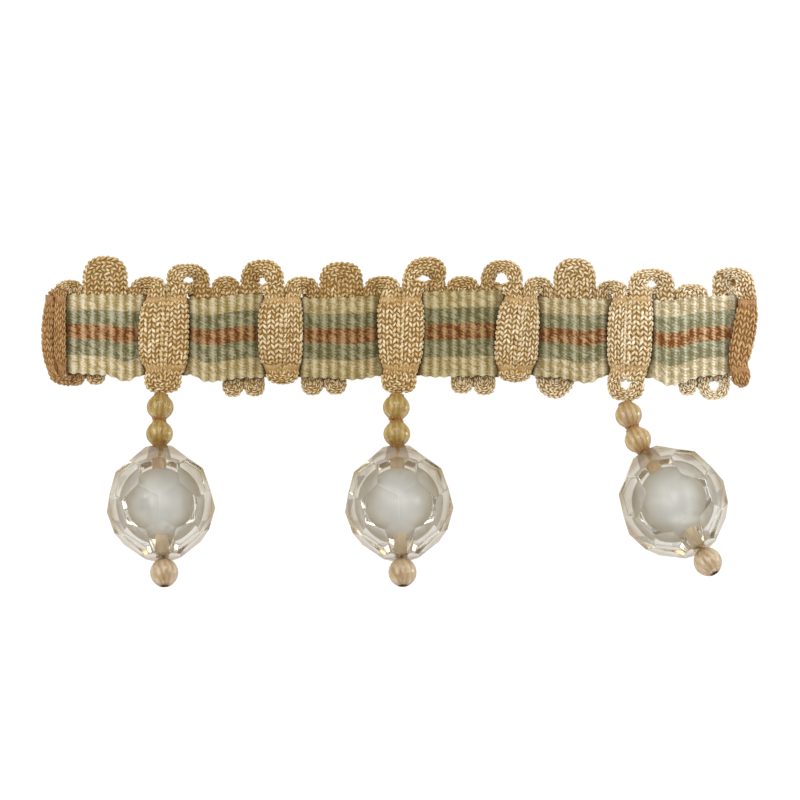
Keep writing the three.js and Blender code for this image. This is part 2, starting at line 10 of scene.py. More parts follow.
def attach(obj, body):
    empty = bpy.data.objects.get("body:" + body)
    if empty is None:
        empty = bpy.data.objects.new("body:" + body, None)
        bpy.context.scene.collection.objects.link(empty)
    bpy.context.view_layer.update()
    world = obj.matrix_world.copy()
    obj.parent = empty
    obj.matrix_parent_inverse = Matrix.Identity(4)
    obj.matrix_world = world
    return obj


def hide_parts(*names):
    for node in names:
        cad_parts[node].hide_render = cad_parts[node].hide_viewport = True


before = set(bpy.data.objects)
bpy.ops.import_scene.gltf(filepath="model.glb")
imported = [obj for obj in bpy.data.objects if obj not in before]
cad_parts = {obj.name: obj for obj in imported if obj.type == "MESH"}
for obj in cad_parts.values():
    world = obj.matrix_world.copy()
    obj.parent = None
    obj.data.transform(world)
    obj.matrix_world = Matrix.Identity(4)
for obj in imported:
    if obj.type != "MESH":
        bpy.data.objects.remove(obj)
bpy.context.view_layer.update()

# Sizes and places are in millimetres, in the frame of the solids, and become metres where a mesh is set down.
# The trim lies on its back: +X runs along the heading, +Y from the drops to the heading loops, +Z is up.
MM = 0.001
HALF_LENGTH = 64.0
UP = np.array([0.0, 0.0, 1.0])
WHITE = (1.0, 1.0, 1.0, 1.0)

# Photograph: the camera looks straight down
PHOTO_PIXELS = 800
PIXELS_PER_MM = 5.4
PHOTO_CENTRE = (0.19, 4.07)
PHOTO_PLANE = 3.0
CAMERA_RISE = 2400.0
SENSOR = 36.0

# Ribbon
RIBBON_THICK = 1.0
RIBBON_HIGH_Z = 2.32
RIBBON_LOW_Z = 1.45
RIBBON_CROWN = 0.2
RUN_STEPS = 8000
DIP_RAMP = 2.2
RIB_PITCH = 1.74
RIB_STEPS = 8
FLOAT_PITCH = 0.54
FLOAT_STEPS = 4
WARP_SWING = 0.24
FLOAT_ROUND = 0.058
CREST_FLOAT = 0.28
FLOAT_SLANT = 1.6
WEAVE_TOP = 0.42
BACK_RISE = 0.12
BACK_ROWS = 12
SELVEDGE_RIPPLE = 0.13
FLOAT_STRAY = 0.9
# Painted shade in the creases beside the tabs fades over this distance
CREASE_SHADE_FADE = 0.4
RIBBON_SEED = 11

# Stripes of the ribbon from the foot edge to the top edge, as shares of its width, and their screen colours
# with painted shade in the valleys and a painted highlight on the crests of the ribs, both paler at the right
# end, under painted light
STRIPES = [("cream", 0.0), ("sage", 0.23), ("rust", 0.437), ("sage", 0.62), ("cream", 0.802)]
STRIPE_TINTS = {
    "valley": {"cream": (150, 131, 84), "sage": (100, 94, 58), "rust": (106, 57, 14)},
    "right_lit_valley": {"cream": (157, 140, 104), "sage": (116, 110, 78), "rust": (113, 65, 23)},
    "crest": {"cream": (204, 192, 165), "sage": (167, 163, 140), "rust": (178, 146, 108)},
    "right_lit_crest": {"cream": (222, 211, 188), "sage": (181, 179, 158), "rust": (196, 167, 130)},
}

# Outline of the ribbon: x, top edge and foot edge, at each tab and along each bulge between tabs
RIBBON_EDGES = [
    (-64.4, 23.5, 9.2),
    (-60.5, 23.7, 9.0),
    (-54.4, 23.6, 8.7),
    (-50.6, 23.6, 7.5),
    (-47.6, 23.5, 8.6),
    (-43.2, 23.2, 9.0),
    (-38.6, 22.9, 8.7),
    (-35.6, 22.9, 7.4),
    (-28.0, 23.7, 8.2),
    (-21.6, 23.3, 8.5),
    (-14.0, 22.9, 8.2),
    (-9.0, 23.1, 7.8),
    (0.3, 23.7, 9.0),
    (7.0, 24.2, 8.3),
    (17.0, 24.4, 8.6),
    (22.1, 23.7, 8.8),
    (29.0, 22.9, 8.3),
    (35.0, 22.8, 7.2),
    (38.6, 22.8, 8.6),
    (42.7, 22.8, 8.9),
    (46.6, 22.5, 8.2),
    (50.0, 22.5, 6.7),
    (57.0, 23.3, 8.5),
    (64.2, 23.8, 9.2),
]


class Tab(NamedTuple):
    """Where the cord crosses in front of the ribbon: how far to either side the ribbon stays down beneath it,
    and its left and right edges at the upper pinch, at its middle and at the lower pinch."""
    x: float
    dip: float
    top: tuple = ()
    middle: tuple = ()
    foot: tuple = ()


TABS = [
    Tab(-64.0, 0.9),
    Tab(-43.2, 2.3, top=(-46.7, -39.3), middle=(-48.1, -39.0), foot=(-46.9, -39.6)),
    Tab(-21.6, 1.9, top=(-24.9, -18.2), middle=(-26.0, -17.9), foot=(-24.8, -18.4)),
    Tab(0.3, 2.2, top=(-3.5, 4.1), middle=(-3.8, 4.5), foot=(-2.9, 3.5)),
    Tab(22.1, 2.1, top=(19.6, 25.7), middle=(18.0, 25.8), foot=(18.4, 25.1)),
    Tab(42.7, 2.4, top=(39.6, 46.7), middle=(38.7, 46.8), foot=(39.1, 46.0)),
    Tab(64.2, 1.1),
]

# Cord
TOP_LINE = 23.2
FOOT_LINE = 9.6
FRONT_LEVELS = [9.6, 11.2, 13.6, 16.4, 19.2, 21.6, 23.2]
BACK_LEVELS = [9.6, 16.4, 23.2]
BELLY_POWER = 3.2
BACK_Z = 0.75
BACK_THICK = 1.5
FRONT_LINE_Z = 3.45
FRONT_LEAST_Z = 2.4
FRONT_MIDDLE_Z = 3.95
PINCHED_THICK = 1.35
CORD_THICK = 1.6
STRAND_GAP = 0.22
CLOSED_EYE = 0.12
EYE_CLOSING = 0.3
LOOP_FULLNESS = 2.5
ARC_STEPS = 12
LEVEL_SHARE = 0.12
STATION = 0.15
SECTION_POWER = 2.5
SECTION_POINTS = 48
SECTION_FINE = 145
LEAST_FLATNESS = 1.04

# Knit of the cord: columns of V stitches round it, and the two legs of each stitch
WALES = 7
SEALED_WALES = 8
COURSE = 0.95
SEALED_COURSE = 1.2
LEG_SEGMENTS = 6
LEG_RINGS = 5
LEG_REACH = 1.3
LEG_SLANT = 0.82
LEG_FILL = 0.86
LEG_LIFT = 0.02
LEG_DIP = 0.3
LEG_HALF_HIGH = 0.3
STRETCH_LIMITS = (0.45, 3.0)
USUAL_RIM = 8.0
SLIM_LIMITS = (0.75, 1.1)
# The crown value paints light and shade on each leg: a painted highlight along its top, painted shade at its
# ends and sides
CROWN_LEVEL = 0.55
CROWN_RISE = 0.45
CROWN_FALL = 0.55
# Painted shade on stitches that lie low, at the level behind the ribbon
LOW_SHADE = 0.32
LOW_EVEN = 0.22
SEALED_EVEN = 0.15
SEALED_HEIGHT = 0.75
CORE_INSET = 0.20
CORE_SIDES = 12
CORE_STEP = 4
KNIT_PIECES = 4
GIMP_SEED = 3
LEFT_SEED = 5
RIGHT_SEED = 6

# How uneven the legs are: the spread of each of their measures
UNEVEN = {"run": 0.08, "turn": 0.05, "slant": 0.3, "fill": 0.13, "lift": 0.025, "tone": 0.26, "reach": 0.1}

# Where loops that lie low are spared their painted shade: axis, way along it, start, fade and strength
UNSHADED_PLACES = [
    (0, 1, 6.0, 40.0, 1.0),
    (0, -1, -46.0, 7.0, 1.1),
    (1, -1, 14.0, 4.0, 2.2),
]

# Where sealing glue has browned the clean cord: way along it, x and its fade, y and its fade, and strength
SEAL_STAINS = [
    (-1, -56.0, 4.5, 12.5, 2.0, 1.0),
    (-1, -61.0, 2.0, 26.0, 2.0, 1.0),
    (1, 62.4, 1.6, 26.5, 3.0, 0.7),
]


class Loop(NamedTuple):
    """A loop of the cord: its middle, half of its outer width, the level where its arc begins and its tip,
    the sideways lean of the tip, how full the arc is, and the width and height of any open eyelet."""
    x: float
    half: float
    base: float
    tip: float
    lean: float = 0.0
    full: float = LOOP_FULLNESS
    eye: tuple = ()


# Loops above the ribbon, low and tall by turns
HEAD_LOOPS = [
    Loop(-61.4, 2.6, 24.1, 26.3, lean=0.5),
    Loop(-54.45, 4.1, 26.2, 30.7),
    Loop(-46.6, 3.4, 24.2, 26.9, lean=0.4),
    Loop(-39.05, 3.95, 26.0, 29.3, lean=-0.2, eye=(2.0, 0.9)),
    Loop(-32.1, 2.65, 24.2, 27.0),
    Loop(-25.3, 4.0, 25.7, 30.0, eye=(1.4, 1.1)),
    Loop(-17.95, 3.1, 24.2, 26.9),
    Loop(-10.7, 3.95, 25.9, 29.6),
    Loop(-3.1, 3.35, 24.2, 27.0),
    Loop(4.6, 3.95, 26.3, 30.5, lean=0.7, eye=(2.5, 0.9)),
    Loop(11.85, 3.05, 24.4, 27.0),
    Loop(19.0, 3.85, 25.9, 30.0, lean=0.2, eye=(2.3, 1.8)),
    Loop(25.8, 2.75, 24.2, 26.9),
    Loop(32.6, 3.85, 26.2, 30.3),
    Loop(39.5, 2.85, 23.9, 26.2),
    Loop(46.8, 4.25, 25.2, 28.4, eye=(1.8, 1.0)),
    Loop(54.25, 2.9, 23.7, 25.6),
    Loop(62.0, 3.85, 25.4, 28.6, lean=-0.3, eye=(1.0, 1.1)),
]

# Loops below the ribbon: lobes between tabs, and a drop loop or low scallop under each tab
FOOT_LOOPS = [
    Loop(-59.95, 1.75, 8.9, 6.7),
    Loop(-56.2, 1.8, 8.9, 6.9),
    Loop(-43.7, 3.4, 8.2, 5.4, full=3.2),
    Loop(-30.8, 1.9, 7.0, 4.7, full=2.8),
    Loop(-26.8, 1.9, 7.0, 4.8, full=2.8),
    Loop(-21.6, 3.05, 9.2, 7.0),
    Loop(-16.1, 2.05, 7.3, 5.0),
    Loop(-11.8, 2.05, 7.3, 5.1),
    Loop(0.0, 3.25, 8.2, 5.4, full=3.2),
    Loop(11.65, 2.0, 7.4, 5.3, full=2.8),
    Loop(15.85, 2.0, 7.2, 5.0),
    Loop(21.5, 3.0, 9.2, 7.4),
    Loop(28.9, 3.45, 7.5, 4.4, full=1.8),
    Loop(34.0, 1.35, 10.2, 8.8),
    Loop(42.0, 3.4, 7.4, 4.0, full=3.0, eye=(1.8, 1.4)),
    Loop(53.5, 1.7, 7.2, 4.9, full=2.8),
    Loop(58.4, 2.95, 7.3, 4.1, eye=(1.9, 1.6)),
]

# Sealed ends, from the cut to the point where the clean cord begins: x, y, z, width, thickness
LEFT_SEALED = [
    (-64.7, 22.4, 3.5, 1.6, 1.3),
    (-64.85, 20.6, 3.7, 1.9, 1.5),
    (-65.15, 16.4, 3.9, 2.1, 1.6),
    (-64.95, 12.6, 3.7, 2.0, 1.5),
    (-64.4, 9.9, 3.55, 1.7, 1.4),
    (-64.0, 8.9, 3.5, 1.6, 1.4),
    (-63.2, 8.2, 3.45, 1.6, 1.4),
    (-62.5, 8.8, 3.55, 1.5, 1.4),
    (-62.35, 9.8, 3.65, 1.6, 1.4),
    (-62.75, 12.4, 3.8, 2.1, 1.5),
    (-62.8, 16.4, 3.9, 2.25, 1.6),
    (-62.8, 20.0, 3.7, 2.1, 1.5),
    (-62.7, 22.1, 3.5, 2.1, 1.35),
]
RIGHT_SEALED = [
    (64.5, 22.1, 3.5, 3.5, 1.35),
    (64.4, 20.0, 3.7, 4.0, 1.5),
    (63.9, 16.4, 3.9, 4.2, 1.6),
    (63.1, 12.4, 3.9, 4.0, 1.5),
    (62.9, 10.5, 3.8, 3.4, 1.35),
    (63.2, 9.2, 3.7, 3.7, 1.4),
    (63.4, 7.8, 3.3, 3.4, 1.5),
    (63.9, 6.5, 2.6, 1.5, 1.2),
]
SEAL_START = 22.7

# Bands that pinch each tab near the two edges of the ribbon
BAND_LINES = (22.65, 9.9)
RIGHT_BAND_X = 60.0
RIGHT_BAND_DROP = 0.4
BAND_HALF_HIGH = 0.8
BAND_RISE = -0.08
BAND_SINK = 0.34
BAND_THICK = 0.3
BAND_COLUMNS = 17
BAND_ROWS = 11
BAND_KNOTS = 6
BAND_SWAY = 0.1
BAND_UNEVEN = 0.14
BAND_SEED = 23
PINCH_FADE = 0.85
PINCH_SINK = 0.06
PINCH_FLAT = 0.5
# Near the bands, the random tone and each leg's painted highlight and shade are evened out by this share
PINCH_DULL = 0.7
PINCHED_CROWN = 0.55

# Yarn that fills the seams of the cord and the notches between its loops; the notches' dark yarn is painted
# shade
SEAM_WIDE = 1.5
SEAM_WALES = 3
SEAM_OVERLAP = 0.5
TAB_SEAM_THICK = 0.85
TAB_SEAM_RISE = 1.8
EYE_SEAM_THICK = 0.9
EYE_MARGIN = 0.2
NOTCH_RISE = 0.9
NOTCH_REACH = 0.8
NOTCH_SINK = 0.45
NOTCH_BACK_Z = 0.65
NOTCH_WIDE = 1.1
NOTCH_THICK = 1.0

# Glued yarn that ties the left end's cut and fold to the loops beside them: x, y, z, width, thickness
LEFT_TIES = [
    [(-64.7, 22.2, 3.4, 1.6, 1.3), (-64.35, 23.2, 3.1, 1.7, 1.3), (-63.6, 24.3, 2.5, 1.6, 1.2)],
    [
        (-64.3, 8.75, 3.3, 1.3, 1.1),
        (-63.2, 7.95, 3.1, 1.5, 1.2),
        (-62.0, 7.7, 2.6, 1.7, 1.2),
        (-60.8, 7.5, 1.9, 1.6, 1.2),
    ],
]

# Dark yarn that stands for the shade in the last eyelet, in the right end's corner and in the left end's
# slit, given in the same way
END_SHADE_FILLERS = [
    [(62.3, 23.2, 0.55, 2.2, 0.9), (62.3, 26.8, 0.55, 2.2, 0.9)],
    [(61.2, 8.5, 0.75, 1.4, 1.0), (61.2, 10.0, 0.75, 1.4, 1.0)],
    [
        (-63.35, 9.3, 3.35, 0.95, 0.9),
        (-63.85, 12.5, 3.35, 0.95, 0.9),
        (-63.98, 16.4, 3.35, 0.95, 0.9),
        (-63.9, 20.0, 3.35, 0.95, 0.9),
        (-63.8, 22.2, 3.35, 0.95, 0.9),
    ],
]

# Drops
THREAD_RADIUS = 0.3
THREAD_TWIST = 1.6
THREAD_SINK = 1.2
THREAD_STEP = 0.12
THREAD_SIDES = 6
THREAD_SIDEWAYS = np.array([0.31, 0.17, 0.94])
SMALL_BORE = 1.7
LARGE_BORE = 2.4
SMALL_RADIUS = 2.5
SMALL_HALF_LENGTH = 2.45
COLLAR_RADIUS = 1.3
COLLAR_END = 2.49
END_RADIUS = 2.6
END_HALF_LENGTH = 2.75
BEAD_RINGS = 32
NEAR_AXIS = 1e-4
PLAIN_SEGMENTS = 60
SHARP_ANGLE = math.radians(50)
FLUTES = 12
FLUTE_STEPS = 6
FLUTE_DEPTH = 0.2
END_TWIST = 0.14
PEARL_RADIUS = 5.2
PEARL_HOLD = 0.8
CRYSTAL_RADIUS = 9.2
CRYSTAL_HIGH = 20.0
CRYSTAL_STRETCH = 1.12
CRYSTAL_BEVEL = 0.12
CRYSTAL_WELD = 0.001
CAP_LEVEL = 0.999
LEAST_CAP_AREA = 1.0
BORE_REACH = 0.7
FACETS_ROUND = 8
WAIST_LATITUDE = math.radians(18)
SHOULDER_LATITUDE = math.radians(52)


class Drop(NamedTuple):
    """The foot loop that carries a drop, and where its beads lie in plan."""
    loop: Loop
    upper: tuple
    lower: tuple
    crystal: tuple
    end: tuple


DROPS = [
    Drop(
        FOOT_LOOPS[2],
        upper=(-44.2, 2.75), lower=(-44.3, -2.15), crystal=(-44.0, -15.0), end=(-43.3, -27.75),
    ),
    Drop(
        FOOT_LOOPS[8],
        upper=(-0.5, 2.7), lower=(-0.4, -2.2), crystal=(0.0, -15.0), end=(0.65, -27.7),
    ),
    Drop(
        FOOT_LOOPS[14],
        upper=(42.5, 1.3), lower=(44.2, -3.3), crystal=(50.6, -14.7), end=(56.95, -25.75),
    ),
]

# Stage: the floor's width in metres and the strength of the light all round
FLOOR_SIZE = 4.0
AIR_LIGHT = 0.45


# Shader maths

def maths(operation, turned=False):
    """An operator on values: one Math node, with its two terms turned round in the reflected form."""
    def act(value, other):
        terms = {0: other, 1: value} if turned else {0: value, 1: other}
        return value.finish.node("ShaderNodeMath", {"operation": operation}, terms)
    return act


class Value:
    """A node's output that takes part in arithmetic: each step adds one Math node."""

    def __init__(self, finish, socket):
        self.finish = finish
        self.socket = socket

    __add__ = maths("ADD")
    __radd__ = maths("ADD", turned=True)
    __sub__ = maths("SUBTRACT")
    __rsub__ = maths("SUBTRACT", turned=True)
    __mul__ = maths("MULTIPLY")
    __rmul__ = maths("MULTIPLY", turned=True)
    __truediv__ = maths("DIVIDE")
    __pow__ = maths("POWER")


class Finish:
    """One procedural material: its Principled shader, and the nodes that feed it."""

    def __init__(self, name, **sockets):
        self.material = bpy.data.materials.new(name)
        self.material.use_nodes = True
        self.tree = self.material.node_tree
        self.shader = self.tree.nodes["Principled BSDF"]
        for socket, value in sockets.items():
            self.set(socket.replace("_", " "), value)

    def set(self, socket, value):
        """Gives one of the shader's own sockets a constant or a link."""
        self.feed(self.shader.inputs[socket], value)

    def feed(self, socket, value):
        if isinstance(value, Value):
            self.tree.links.new(value.socket, socket)
        else:
            socket.default_value = value

    def node(self, kind, settings=None, inputs=None, output=0):
        """Adds a node: its settings first, then the values or links of its sockets."""
        made = self.tree.nodes.new(kind)
        for name, value in (settings or {}).items():
            if name == "stops":
                self.set_stops(made.color_ramp, value)
            elif name == "steps":
                made.color_ramp.interpolation = value
            else:
                setattr(made, name, value)
        for socket, value in (inputs or {}).items():
            self.feed(made.inputs[socket], value)
        return Value(self, made.outputs[output])

    def set_stops(self, ramp, stops):
        while len(ramp.elements) < len(stops):
            ramp.elements.new(1.0)
        for element, (place, colour) in zip(ramp.elements, stops):
            element.position = place
            element.color = colour

    def attribute(self, name):
        return self.node("ShaderNodeAttribute", {"attribute_name": name}, output="Fac")

    def place(self):
        return self.node("ShaderNodeTexCoord", output="Object")

    def share(self, axis, whole):
        """Place along an axis, as a share of a length in millimetres."""
        return self.node("ShaderNodeSeparateXYZ", None, {0: self.place()}, output=axis) / (whole * MM)

    def noise(self, scale, detail=2.0, roughness=0.5):
        sockets = {"Vector": self.place(), "Scale": scale, "Detail": detail, "Roughness": roughness}
        return self.node("ShaderNodeTexNoise", None, sockets)

    def ramp(self, value, stops, steps="LINEAR"):
        return self.node("ShaderNodeValToRGB", {"steps": steps, "stops": stops}, {0: value})

    def stripes(self, place, tints):
        """Bands of colour with sharp borders, in the order of the ribbon's stripes."""
        return self.ramp(place, [(start, tint(*tints[name])) for name, start in STRIPES], "CONSTANT")

    def blend(self, share, first, second, mode="MIX"):
        """Mixes two colours by a share from 0 to 1."""
        settings = {"data_type": "RGBA", "blend_type": mode}
        return self.node("ShaderNodeMix", settings, {0: share, 6: first, 7: second}, output=2)

    def bump(self, height, strength, distance):
        sockets = {"Strength": strength, "Distance": distance * MM, "Height": height}
        self.set("Normal", self.node("ShaderNodeBump", None, sockets))


def tint(red, green, blue):
    """A colour given by its screen values from 0 to 255."""
    def linear(level):
        share = level / 255
        return share / 12.92 if share <= 0.04045 else ((share + 0.055) / 1.055) ** 2.4
    return (linear(red), linear(green), linear(blue), 1.0)


# Finishes

def gimp_yarn():
    """Champagne yarn: painted highlight on each crown, painted shade in the gaps, browned near the seals,
    paler to the right under painted light.
    """
    finish = Finish("gimp_yarn", Roughness=0.42, Specular_IOR_Level=0.35)
    fibres = finish.noise(2600.0, 3.0)
    # The crown value brings in each leg's painted highlight and painted shade
    level = finish.attribute("crown") * 0.75 + finish.attribute("tone") * 0.34 + fibres * 0.3 - 0.17
    clean = finish.ramp(level, [
        (0.2, tint(112, 80, 34)),
        (0.45, tint(154, 120, 64)),
        (0.7, tint(182, 154, 106)),
        (0.98, tint(212, 196, 164)),
    ])
    browned = finish.ramp(level, [
        (0.25, tint(110, 70, 32)),
        (0.55, tint(146, 105, 58)),
        (0.95, tint(184, 148, 100)),
    ])
    # Painted light on the right end: the paler tones the yarn takes on there
    right_lit_tones = finish.ramp(level, [
        (0.2, tint(130, 103, 62)),
        (0.45, tint(173, 146, 100)),
        (0.7, tint(201, 180, 144)),
        (0.98, tint(228, 218, 197)),
    ])
    # Paler towards the right end, where painted light falls
    right_lit = finish.blend((finish.share(0, HALF_LENGTH) - 0.12) * 1.35, clean, right_lit_tones)
    finish.set("Base Color", finish.blend(finish.attribute("seal"), right_lit, browned))
    finish.bump(fibres, 0.35, 0.05)
    return finish.material


def core_yarn():
    """Inside of the knit, seen between the stitches, painted darker than them for the shade in the gaps."""
    finish = Finish("core_yarn", Roughness=0.8, Specular_IOR_Level=0.2)
    fibres = finish.noise(1900.0, 3.0)
    clean = finish.ramp(fibres, [(0.2, tint(112, 80, 34)), (0.8, tint(154, 120, 66))])
    browned = finish.ramp(fibres, [(0.2, tint(116, 78, 40)), (0.8, tint(150, 110, 62))])
    finish.set("Base Color", finish.blend(finish.attribute("seal"), clean, browned))
    finish.bump(fibres, 0.5, 0.08)
    return finish.material


def ribbon_weave():
    """Striped grosgrain: painted highlight on the crests, painted shade in valleys, creases and along the
    middle, crisper and paler to the right under painted light.
    """
    finish = Finish("ribbon_weave", Roughness=0.66, Specular_IOR_Level=0.1)
    depth = finish.attribute("depth")
    place = finish.attribute("across") + (finish.noise(1500.0) - 0.5) * 0.012
    colours = {name: finish.stripes(place, tints) for name, tints in STRIPE_TINTS.items()}
    fibres = finish.noise(2300.0, 3.0)
    along = finish.share(0, HALF_LENGTH)
    # Painted light that falls on the right end: there the crests are finer and the colours paler
    right_light_share = finish.node("ShaderNodeClamp", None, {0: (along - 0.05) * 1.3})
    # Painted highlight along the crests of the ribs, broad to the left and fine to the right
    broad_crest_highlight = depth ** 4.0 * 1.1
    fine_crest_highlight = depth ** 9.0 * 1.3
    crest = broad_crest_highlight * (1 - right_light_share) + fine_crest_highlight * right_light_share
    light = crest + (fibres - 0.5) * 2.0 + (finish.attribute("tone") - 0.5) * 0.6 + 0.1
    # Painted shade in the valleys and painted highlight on the crests
    low = finish.blend(right_light_share, colours["valley"], colours["right_lit_valley"])
    high = finish.blend(right_light_share, colours["crest"], colours["right_lit_crest"])
    cloth = finish.blend(light, low, high)
    # Painted shade at the bottoms of the valleys
    valley_shade = finish.ramp(depth, [(0.0, tint(176, 170, 158)), (0.32, WHITE)])
    # Painted shade in the creases beside the tabs
    crease = finish.blend(finish.attribute("crease"), WHITE, tint(112, 88, 62))
    # Painted shade: the cloth is darker along the middle of its length
    middle_shade = finish.blend(1 - along * along, WHITE, tint(216, 211, 192))
    for shade in (valley_shade, crease, middle_shade):
        cloth = finish.blend(1.0, cloth, shade, "MULTIPLY")
    finish.set("Base Color", cloth)
    finish.bump(fibres, 0.35, 0.05)
    return finish.material


def binding_band():
    """Smooth flattened band of tan binding, browned on the sealed ends."""
    finish = Finish("binding_band", Roughness=0.4, Specular_IOR_Level=0.35)
    cloud = finish.noise(650.0, 3.0)
    clean = finish.ramp(cloud, [(0.25, tint(138, 102, 52)), (0.75, tint(172, 138, 88))])
    browned = finish.ramp(cloud, [(0.25, tint(126, 84, 46)), (0.75, tint(160, 120, 76))])
    finish.set("Base Color", finish.blend(finish.attribute("seal"), clean, browned))
    finish.bump(cloud, 0.2, 0.1)
    return finish.material


def drop_thread():
    """Fine tan thread, half clear, that strings the drops."""
    finish = Finish("drop_thread", Roughness=0.38, Transmission_Weight=0.15)
    fibres = finish.noise(1700.0, 3.0)
    finish.set("Base Color", finish.ramp(fibres, [(0.25, tint(146, 102, 48)), (0.75, tint(192, 150, 94))]))
    finish.bump(fibres, 0.25, 0.04)
    return finish.material


def acrylic_bead(name, dark, light, groove_shade, rim, marked, clearness, right_lighting=0.0):
    """Cloudy moulded acrylic: swirls, painted shade in the grooves, the rim colour round the hole, paler to
    the right under painted light.
    """
    finish = Finish(name, Roughness=0.24, IOR=1.49, Transmission_Weight=clearness)
    body = finish.ramp(finish.noise(420.0, 3.0, 0.6), [(0.3, dark), (0.7, light)])
    # Painted light: paler towards the right end
    right_lit = finish.blend((finish.share(0, HALF_LENGTH) - 0.3) * right_lighting, body, tint(212, 184, 132))
    # Painted shade in the grooves, as strong as marked
    groove_shaded = finish.blend(finish.attribute("groove") * marked, right_lit, groove_shade)
    # Round the hole: on the amber beads a painted orange glow for light passing through them in the seams, on
    # the tan bead darker ends
    finish.set("Base Color", finish.blend(finish.attribute("end") ** 6, groove_shaded, rim))
    return finish.material


def amber_acrylic():
    # The rim colour is a painted glow of light passing through the amber
    colours = (tint(168, 136, 60), tint(216, 190, 112), tint(112, 76, 24), tint(178, 116, 58))
    return acrylic_bead("amber_acrylic", *colours, marked=0.42, clearness=0.5, right_lighting=2.2)


def tan_acrylic():
    colours = (tint(182, 154, 112), tint(218, 196, 162), tint(136, 102, 62), tint(136, 102, 62))
    return acrylic_bead("tan_acrylic", *colours, marked=0.34, clearness=0.4)


def clear_acrylic():
    """Clear acrylic, its real champagne tint painted by height: clear on top, champagne at the sides, brown
    round the waist as painted shade.
    """
    finish = Finish("clear_acrylic", Roughness=0.06, IOR=1.49, Transmission_Weight=1.0)
    # Painted by height: a clear top, and a brown waist that darkens the outline as painted shade
    height = finish.share(2, CRYSTAL_HIGH) + (finish.noise(130.0) - 0.5) * 0.08
    finish.set("Base Color", finish.ramp(height, [
        (0.3, tint(166, 154, 129)),
        (0.42, tint(120, 94, 58)),
        (0.58, tint(120, 94, 58)),
        (0.65, tint(164, 151, 125)),
        (0.7, tint(168, 156, 131)),
        (0.78, tint(202, 197, 185)),
    ]))
    return finish.material


def frosted_bore():
    """Wall of the hole drilled through the clear bead, dulled by the drill, tan from the thread behind it."""
    finish = Finish("frosted_bore", Roughness=0.55, IOR=1.49, Transmission_Weight=0.1)
    cloud = finish.noise(700.0, 3.0)
    finish.set("Base Color", finish.ramp(cloud, [(0.25, tint(240, 212, 174)), (0.75, tint(250, 236, 212))]))
    return finish.material


def pearl_coat():
    """Grey-white pearl lacquer with a soft sheen from its coat, and a painted sheen of warmer grey at its
    outline.
    """
    finish = Finish("pearl_coat", Roughness=0.36, Coat_Weight=0.4)
    cloud = finish.noise(260.0, 3.0)
    # Painted sheen: warmer, slightly darker grey where the surface turns away from the view
    edge = finish.node("ShaderNodeLayerWeight", None, {"Blend": 0.35}, output="Facing")
    body = finish.ramp(cloud, [(0.2, tint(240, 244, 250)), (0.8, tint(248, 250, 254))])
    finish.set("Base Color", finish.blend(edge, body, tint(234, 232, 226)))
    return finish.material


def light_table():
    """Plain white light table: it glows a little less than would hide the pieces that lie on it."""
    finish = Finish("light_table", Roughness=0.7, Emission_Color=WHITE, Emission_Strength=0.93)
    cloud = finish.noise(14.0)
    finish.set("Base Color", finish.ramp(cloud, [(0.0, tint(96, 96, 95)), (1.0, tint(100, 100, 99))]))
    return finish.material


# Setting pieces down

def new_object(name, data):
    made = bpy.data.objects.new(name, data)
    bpy.context.scene.collection.objects.link(made)
    return made


def set_down(piece, finishes, replaced=()):
    """Gives a finished piece its finishes, and lets it ride on the part."""
    for finish in finishes:
        piece.data.materials.append(finish)
    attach(piece, "root")
    if replaced:
        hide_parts(*replaced)


def note_values(mesh, values):
    """Keeps named values of a mesh's points, for its finish to read."""
    for title, numbers in values.items():
        layer = mesh.attributes.new(title, "FLOAT", "POINT")
        layer.data.foreach_set("value", numbers.astype(np.float32))


def mesh_from_arrays(name, points, faces, values):
    """A smooth mesh from points in millimetres, rows of faces of one size each, and values of the points."""
    mesh = bpy.data.meshes.new(name)
    corners = np.concatenate([rows.ravel() for rows in faces])
    sizes = np.concatenate([np.full(len(rows), rows.shape[1]) for rows in faces])
    mesh.vertices.add(len(points))
    mesh.vertices.foreach_set("co", (points * MM).astype(np.float32).ravel())
    mesh.loops.add(len(corners))
    mesh.loops.foreach_set("vertex_index", corners.astype(np.int32))
    mesh.polygons.add(len(sizes))
    starts = np.concatenate([[0], np.cumsum(sizes)[:-1]])
    mesh.polygons.foreach_set("loop_start", starts.astype(np.int32))
    mesh.polygons.foreach_set("use_smooth", np.ones(len(sizes), bool))
    mesh.update(calc_edges=True)
    note_values(mesh, values)
    return new_object(name, mesh)


def join_parts(name, parts):
    """One mesh of many small parts, each of them points, rows of faces and named values."""
    points = []
    faces = []
    values = {}
    shift = 0
    for spots, rows, numbers in parts:
        points.append(spots)
        faces += [row + shift for row in rows]
        for title, column in numbers.items():
            values.setdefault(title, []).append(column)
        shift += len(spots)
    values = {title: np.concatenate(columns) for title, columns in values.items()}
    return mesh_from_arrays(name, np.concatenate(points), faces, values)


def grid_faces(rows, columns, closed):
    """Quads between the points of a grid, which may close round its columns."""
    steps = columns if closed else columns - 1
    row, column = np.meshgrid(np.arange(rows - 1), np.arange(steps), indexing="ij")
    a = row * columns + column
    b = row * columns + (column + 1) % columns
    return np.stack([a, b, b + columns, a + columns], axis=-1).reshape(-1, 4)


def ease(value):
    """Smooth step along half a cosine wave."""
    return 0.5 - 0.5 * np.cos(np.pi * np.clip(value, 0, 1))


def mix(first, second, share):
    return first + (second - first) * share


def unit(rows):
    return rows / np.linalg.norm(rows, axis=-1, keepdims=True)


def heading(path):
    """Direction of a path at each of its points."""
    return unit(np.gradient(path, axis=0))


